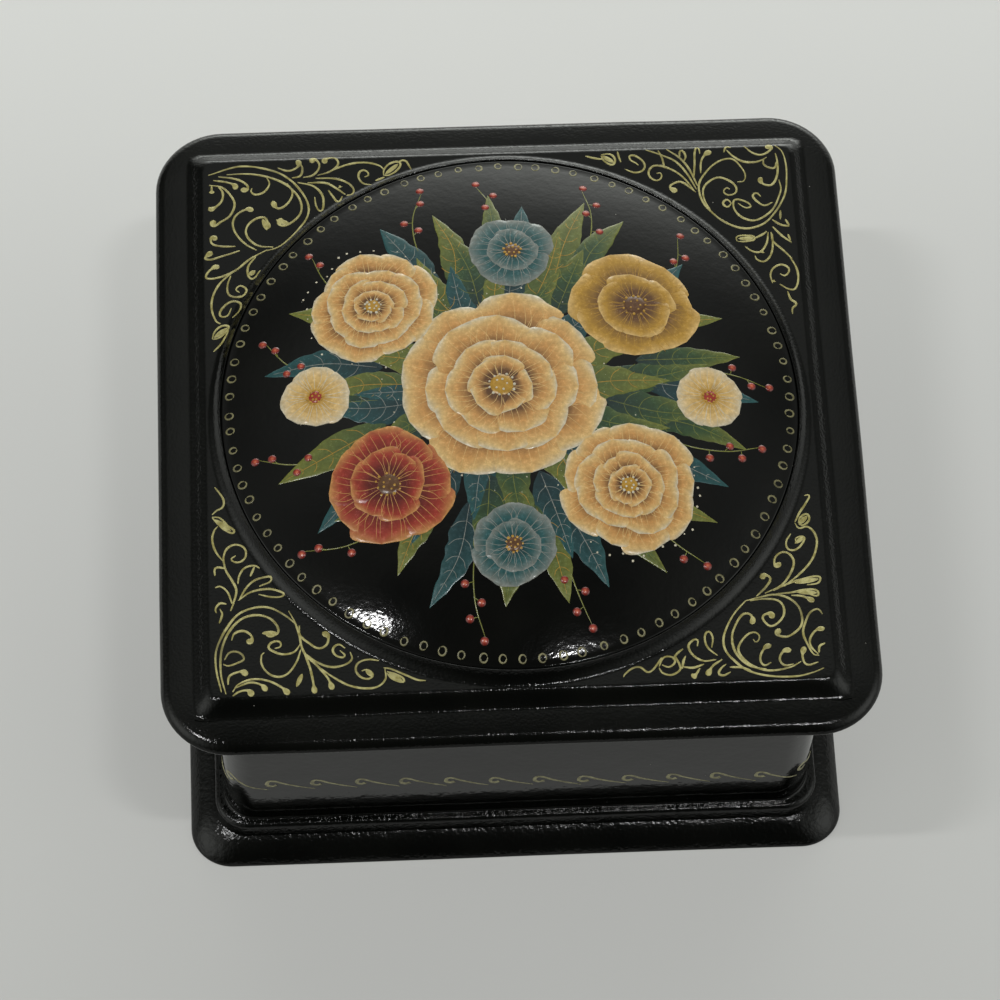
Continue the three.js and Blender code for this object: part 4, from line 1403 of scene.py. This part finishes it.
FRONT_RIGHT_DROPS = (
    ((27.5, 33.9), (26, 33.6), (25, 32.9), (24.1, 31.5), (23.9, 29.75), (24.4, 28.25), (25.25, 27),
     (26, 26.9), (26.4, 27.5), (26.25, 28.25)),
    ((25.75, 25.25), (27.25, 24.9), (29, 24.6), (30.5, 25), (31.6, 26), (32, 27.25), (31.9, 28.5),
     (31, 29.5), (30, 29.95), (29.1, 29.6), (29.4, 28.9)),
    ((26.25, 25.25), (28, 25.1), (29.5, 25.4), (30.05, 26.4), (29.75, 27.6), (28.5, 28.55), (27.75, 28),
     (27.6, 27.25), (28.4, 27), (28.75, 27.6)),
    ((28.1, 33.1), (27.25, 33.4), (26.9, 32.5), (27.5, 31.25), (28.25, 30.9)),
    ((30.6, 33.4), (29.6, 33.5), (29.1, 32.75), (29.6, 31.75), (30.5, 31.6)),
    ((33.4, 33.25), (32.1, 33.5), (31.7, 32.5), (32, 31.25)),
    ((33.5, 32.25), (32.75, 31.25), (32.75, 30.25), (33.5, 29.25), (34.5, 29)),
    ((27, 24.75), (28.25, 23.5), (28.75, 22.5), (28.1, 22.1), (27.75, 22.6)),
    ((28, 24.4), (30, 23.4), (31.1, 22), (31.6, 20.6), (31.25, 19.6), (30.4, 19.25), (29.5, 19.9),
     (29.5, 20.9), (30.1, 20.6)),
    ((31, 24.75), (32.25, 24.9), (33.6, 25.6)),
    ((22.6, 32.5), (21.5, 33.25), (21, 34), (20.8, 34.5)),
    ((20, 33.5), (19.5, 34.25), (19, 34.6)),
)
FRONT_RIGHT_FILLS = (
    ((32.5, 15.8), (33.6, 14.7)),
    ((33, 17.4), (31.9, 18.2)),
    ((31.5, 23.2), (34.3, 22.8)),
    ((31.5, 24.3), (34, 24.55)),
)


# Stage

PHOTO_AZIMUTH = -4.51
PHOTO_ELEVATION = 62.89
PHOTO_ROLL = 2.15
CAMERA_DISTANCE = 486.24
CAMERA_AIM = Vector((-1.64, -11.38, panel_top))
CAMERA_LENS = 152.05
CAMERA_SENSOR = 36
CAMERA_NEAR = 10
# The two strip lamps overhead: where they hang, their light on the lid and their lengths in millimetres
LAMPS = (
    (Vector((-0.37, -0.11, 0.92)), 0.65, 200),
    (Vector((0.18, -0.25, 0.95)), 0.55, 130),
)
LAMP_WIDTH = 24
LAMP_DISTANCE = 1000
# Where the room's soft light comes from, how bright it is there and how fast it fades round that
ROOM_LIGHTS = (
    (Vector((0.15, 0.98, 0.02)), 6.2, 10),
    (Vector((-0.2, 0.48, 0.85)), 0.5, 22),
    (Vector((0.25, 0.48, 0.84)), 0.5, 22),
    (Vector((0.86, -0.24, 0.45)), 1.75, 8),
    (Vector((-0.86, -0.24, 0.45)), 1.75, 8),
)
ROOM_DARK = 0.05
ROOM_TINT = (0.97, 1, 0.95)
FLOOR_SIZE = 6000


def facing(back, above, roll=0):
    """Turn of a camera or lamp that looks against one direction, with another above it, then rolled."""
    right = above.cross(back).normalized()
    up = back.cross(right)
    turned = right * math.cos(roll) + up * math.sin(roll)
    return Matrix((turned, back.cross(turned), back)).transposed()


def photo_camera():
    azimuth, elevation = math.radians(PHOTO_AZIMUTH), math.radians(PHOTO_ELEVATION)
    back = Vector((
        math.sin(azimuth) * math.cos(elevation),
        -math.cos(azimuth) * math.cos(elevation),
        math.sin(elevation),
    ))
    data = bpy.data.cameras.new("camera")
    data.sensor_width = CAMERA_SENSOR
    data.lens = CAMERA_LENS
    data.clip_start = CAMERA_NEAR * MM
    camera = bpy.data.objects.new("camera", data)
    place = (CAMERA_AIM + back * CAMERA_DISTANCE) * MM
    turn = facing(back, Vector((0, 0, 1)), math.radians(PHOTO_ROLL))
    camera.matrix_world = Matrix.Translation(place) @ turn.to_4x4()
    bpy.context.collection.objects.link(camera)
    bpy.context.scene.camera = camera


def lamps():
    for number, (direction, light, length) in enumerate(LAMPS):
        data = bpy.data.lights.new(f"lamp_{number}", "AREA")
        data.shape = "ELLIPSE"
        data.size = length * MM
        data.size_y = LAMP_WIDTH * MM
        data.energy = math.pi * light * (LAMP_DISTANCE * MM) ** 2
        lamp = bpy.data.objects.new(data.name, data)
        back = direction.normalized()
        place = (Vector((0, 0, lid_top)) + back * LAMP_DISTANCE) * MM
        lamp.matrix_world = Matrix.Translation(place) @ facing(back, Vector((0, 1, 0))).to_4x4()
        bpy.context.collection.objects.link(lamp)


def room():
    """Soft light from the room, behind the box and at its sides, and the pale floor."""
    world = bpy.data.worlds.new("room")
    world.use_nodes = True
    made = Nodes(world.node_tree)
    direction = made.tree.nodes.new("ShaderNodeTexCoord").outputs["Generated"]
    total = ROOM_DARK
    for side, strength, falloff in ROOM_LIGHTS:
        towards = made.tree.nodes.new("ShaderNodeVectorMath")
        towards.operation = "DOT_PRODUCT"
        towards.inputs[1].default_value = side.normalized()
        made.plug(direction, towards.inputs[0])
        share = made.compute("POWER", made.compute("MAXIMUM", towards.outputs["Value"], 0), falloff)
        total = made.compute("ADD", made.compute("MULTIPLY", share, strength), total)
    made.feed(made.tree.nodes["Background"], Color=ROOM_TINT, Strength=total)
    bpy.context.scene.world = world
    half = FLOOR_SIZE / 2
    corners = [Vector((x, y, 0)) for x, y in ((-half, -half), (half, -half), (half, half), (-half, half))]
    ground = mesh_object("ground", corners, [(0, 1, 2, 3)])
    ground.data.materials.append(pale_floor())


photo_camera()
lamps()
room()
walls()
floor_panel()
plinth()
lid_board()
lid_panel()
dome()
hinge_and_strips()
corner_scroll("gold_scroll_back_left", -1, 1, BACK_LEFT_LINES, BACK_LEFT_DROPS, BACK_LEFT_FILLS)
corner_scroll("gold_scroll_back_right", 1, 1, BACK_RIGHT_LINES, BACK_RIGHT_DROPS, BACK_RIGHT_FILLS)
corner_scroll("gold_scroll_front_left", -1, -1, FRONT_LEFT_LINES, FRONT_LEFT_DROPS, FRONT_LEFT_FILLS)
corner_scroll("gold_scroll_front_right", 1, -1, FRONT_RIGHT_LINES, FRONT_RIGHT_DROPS, FRONT_RIGHT_FILLS)
dome_circlets()
wall_scrolls()
bouquet()

bpy.context.scene.view_settings.view_transform = "Standard"
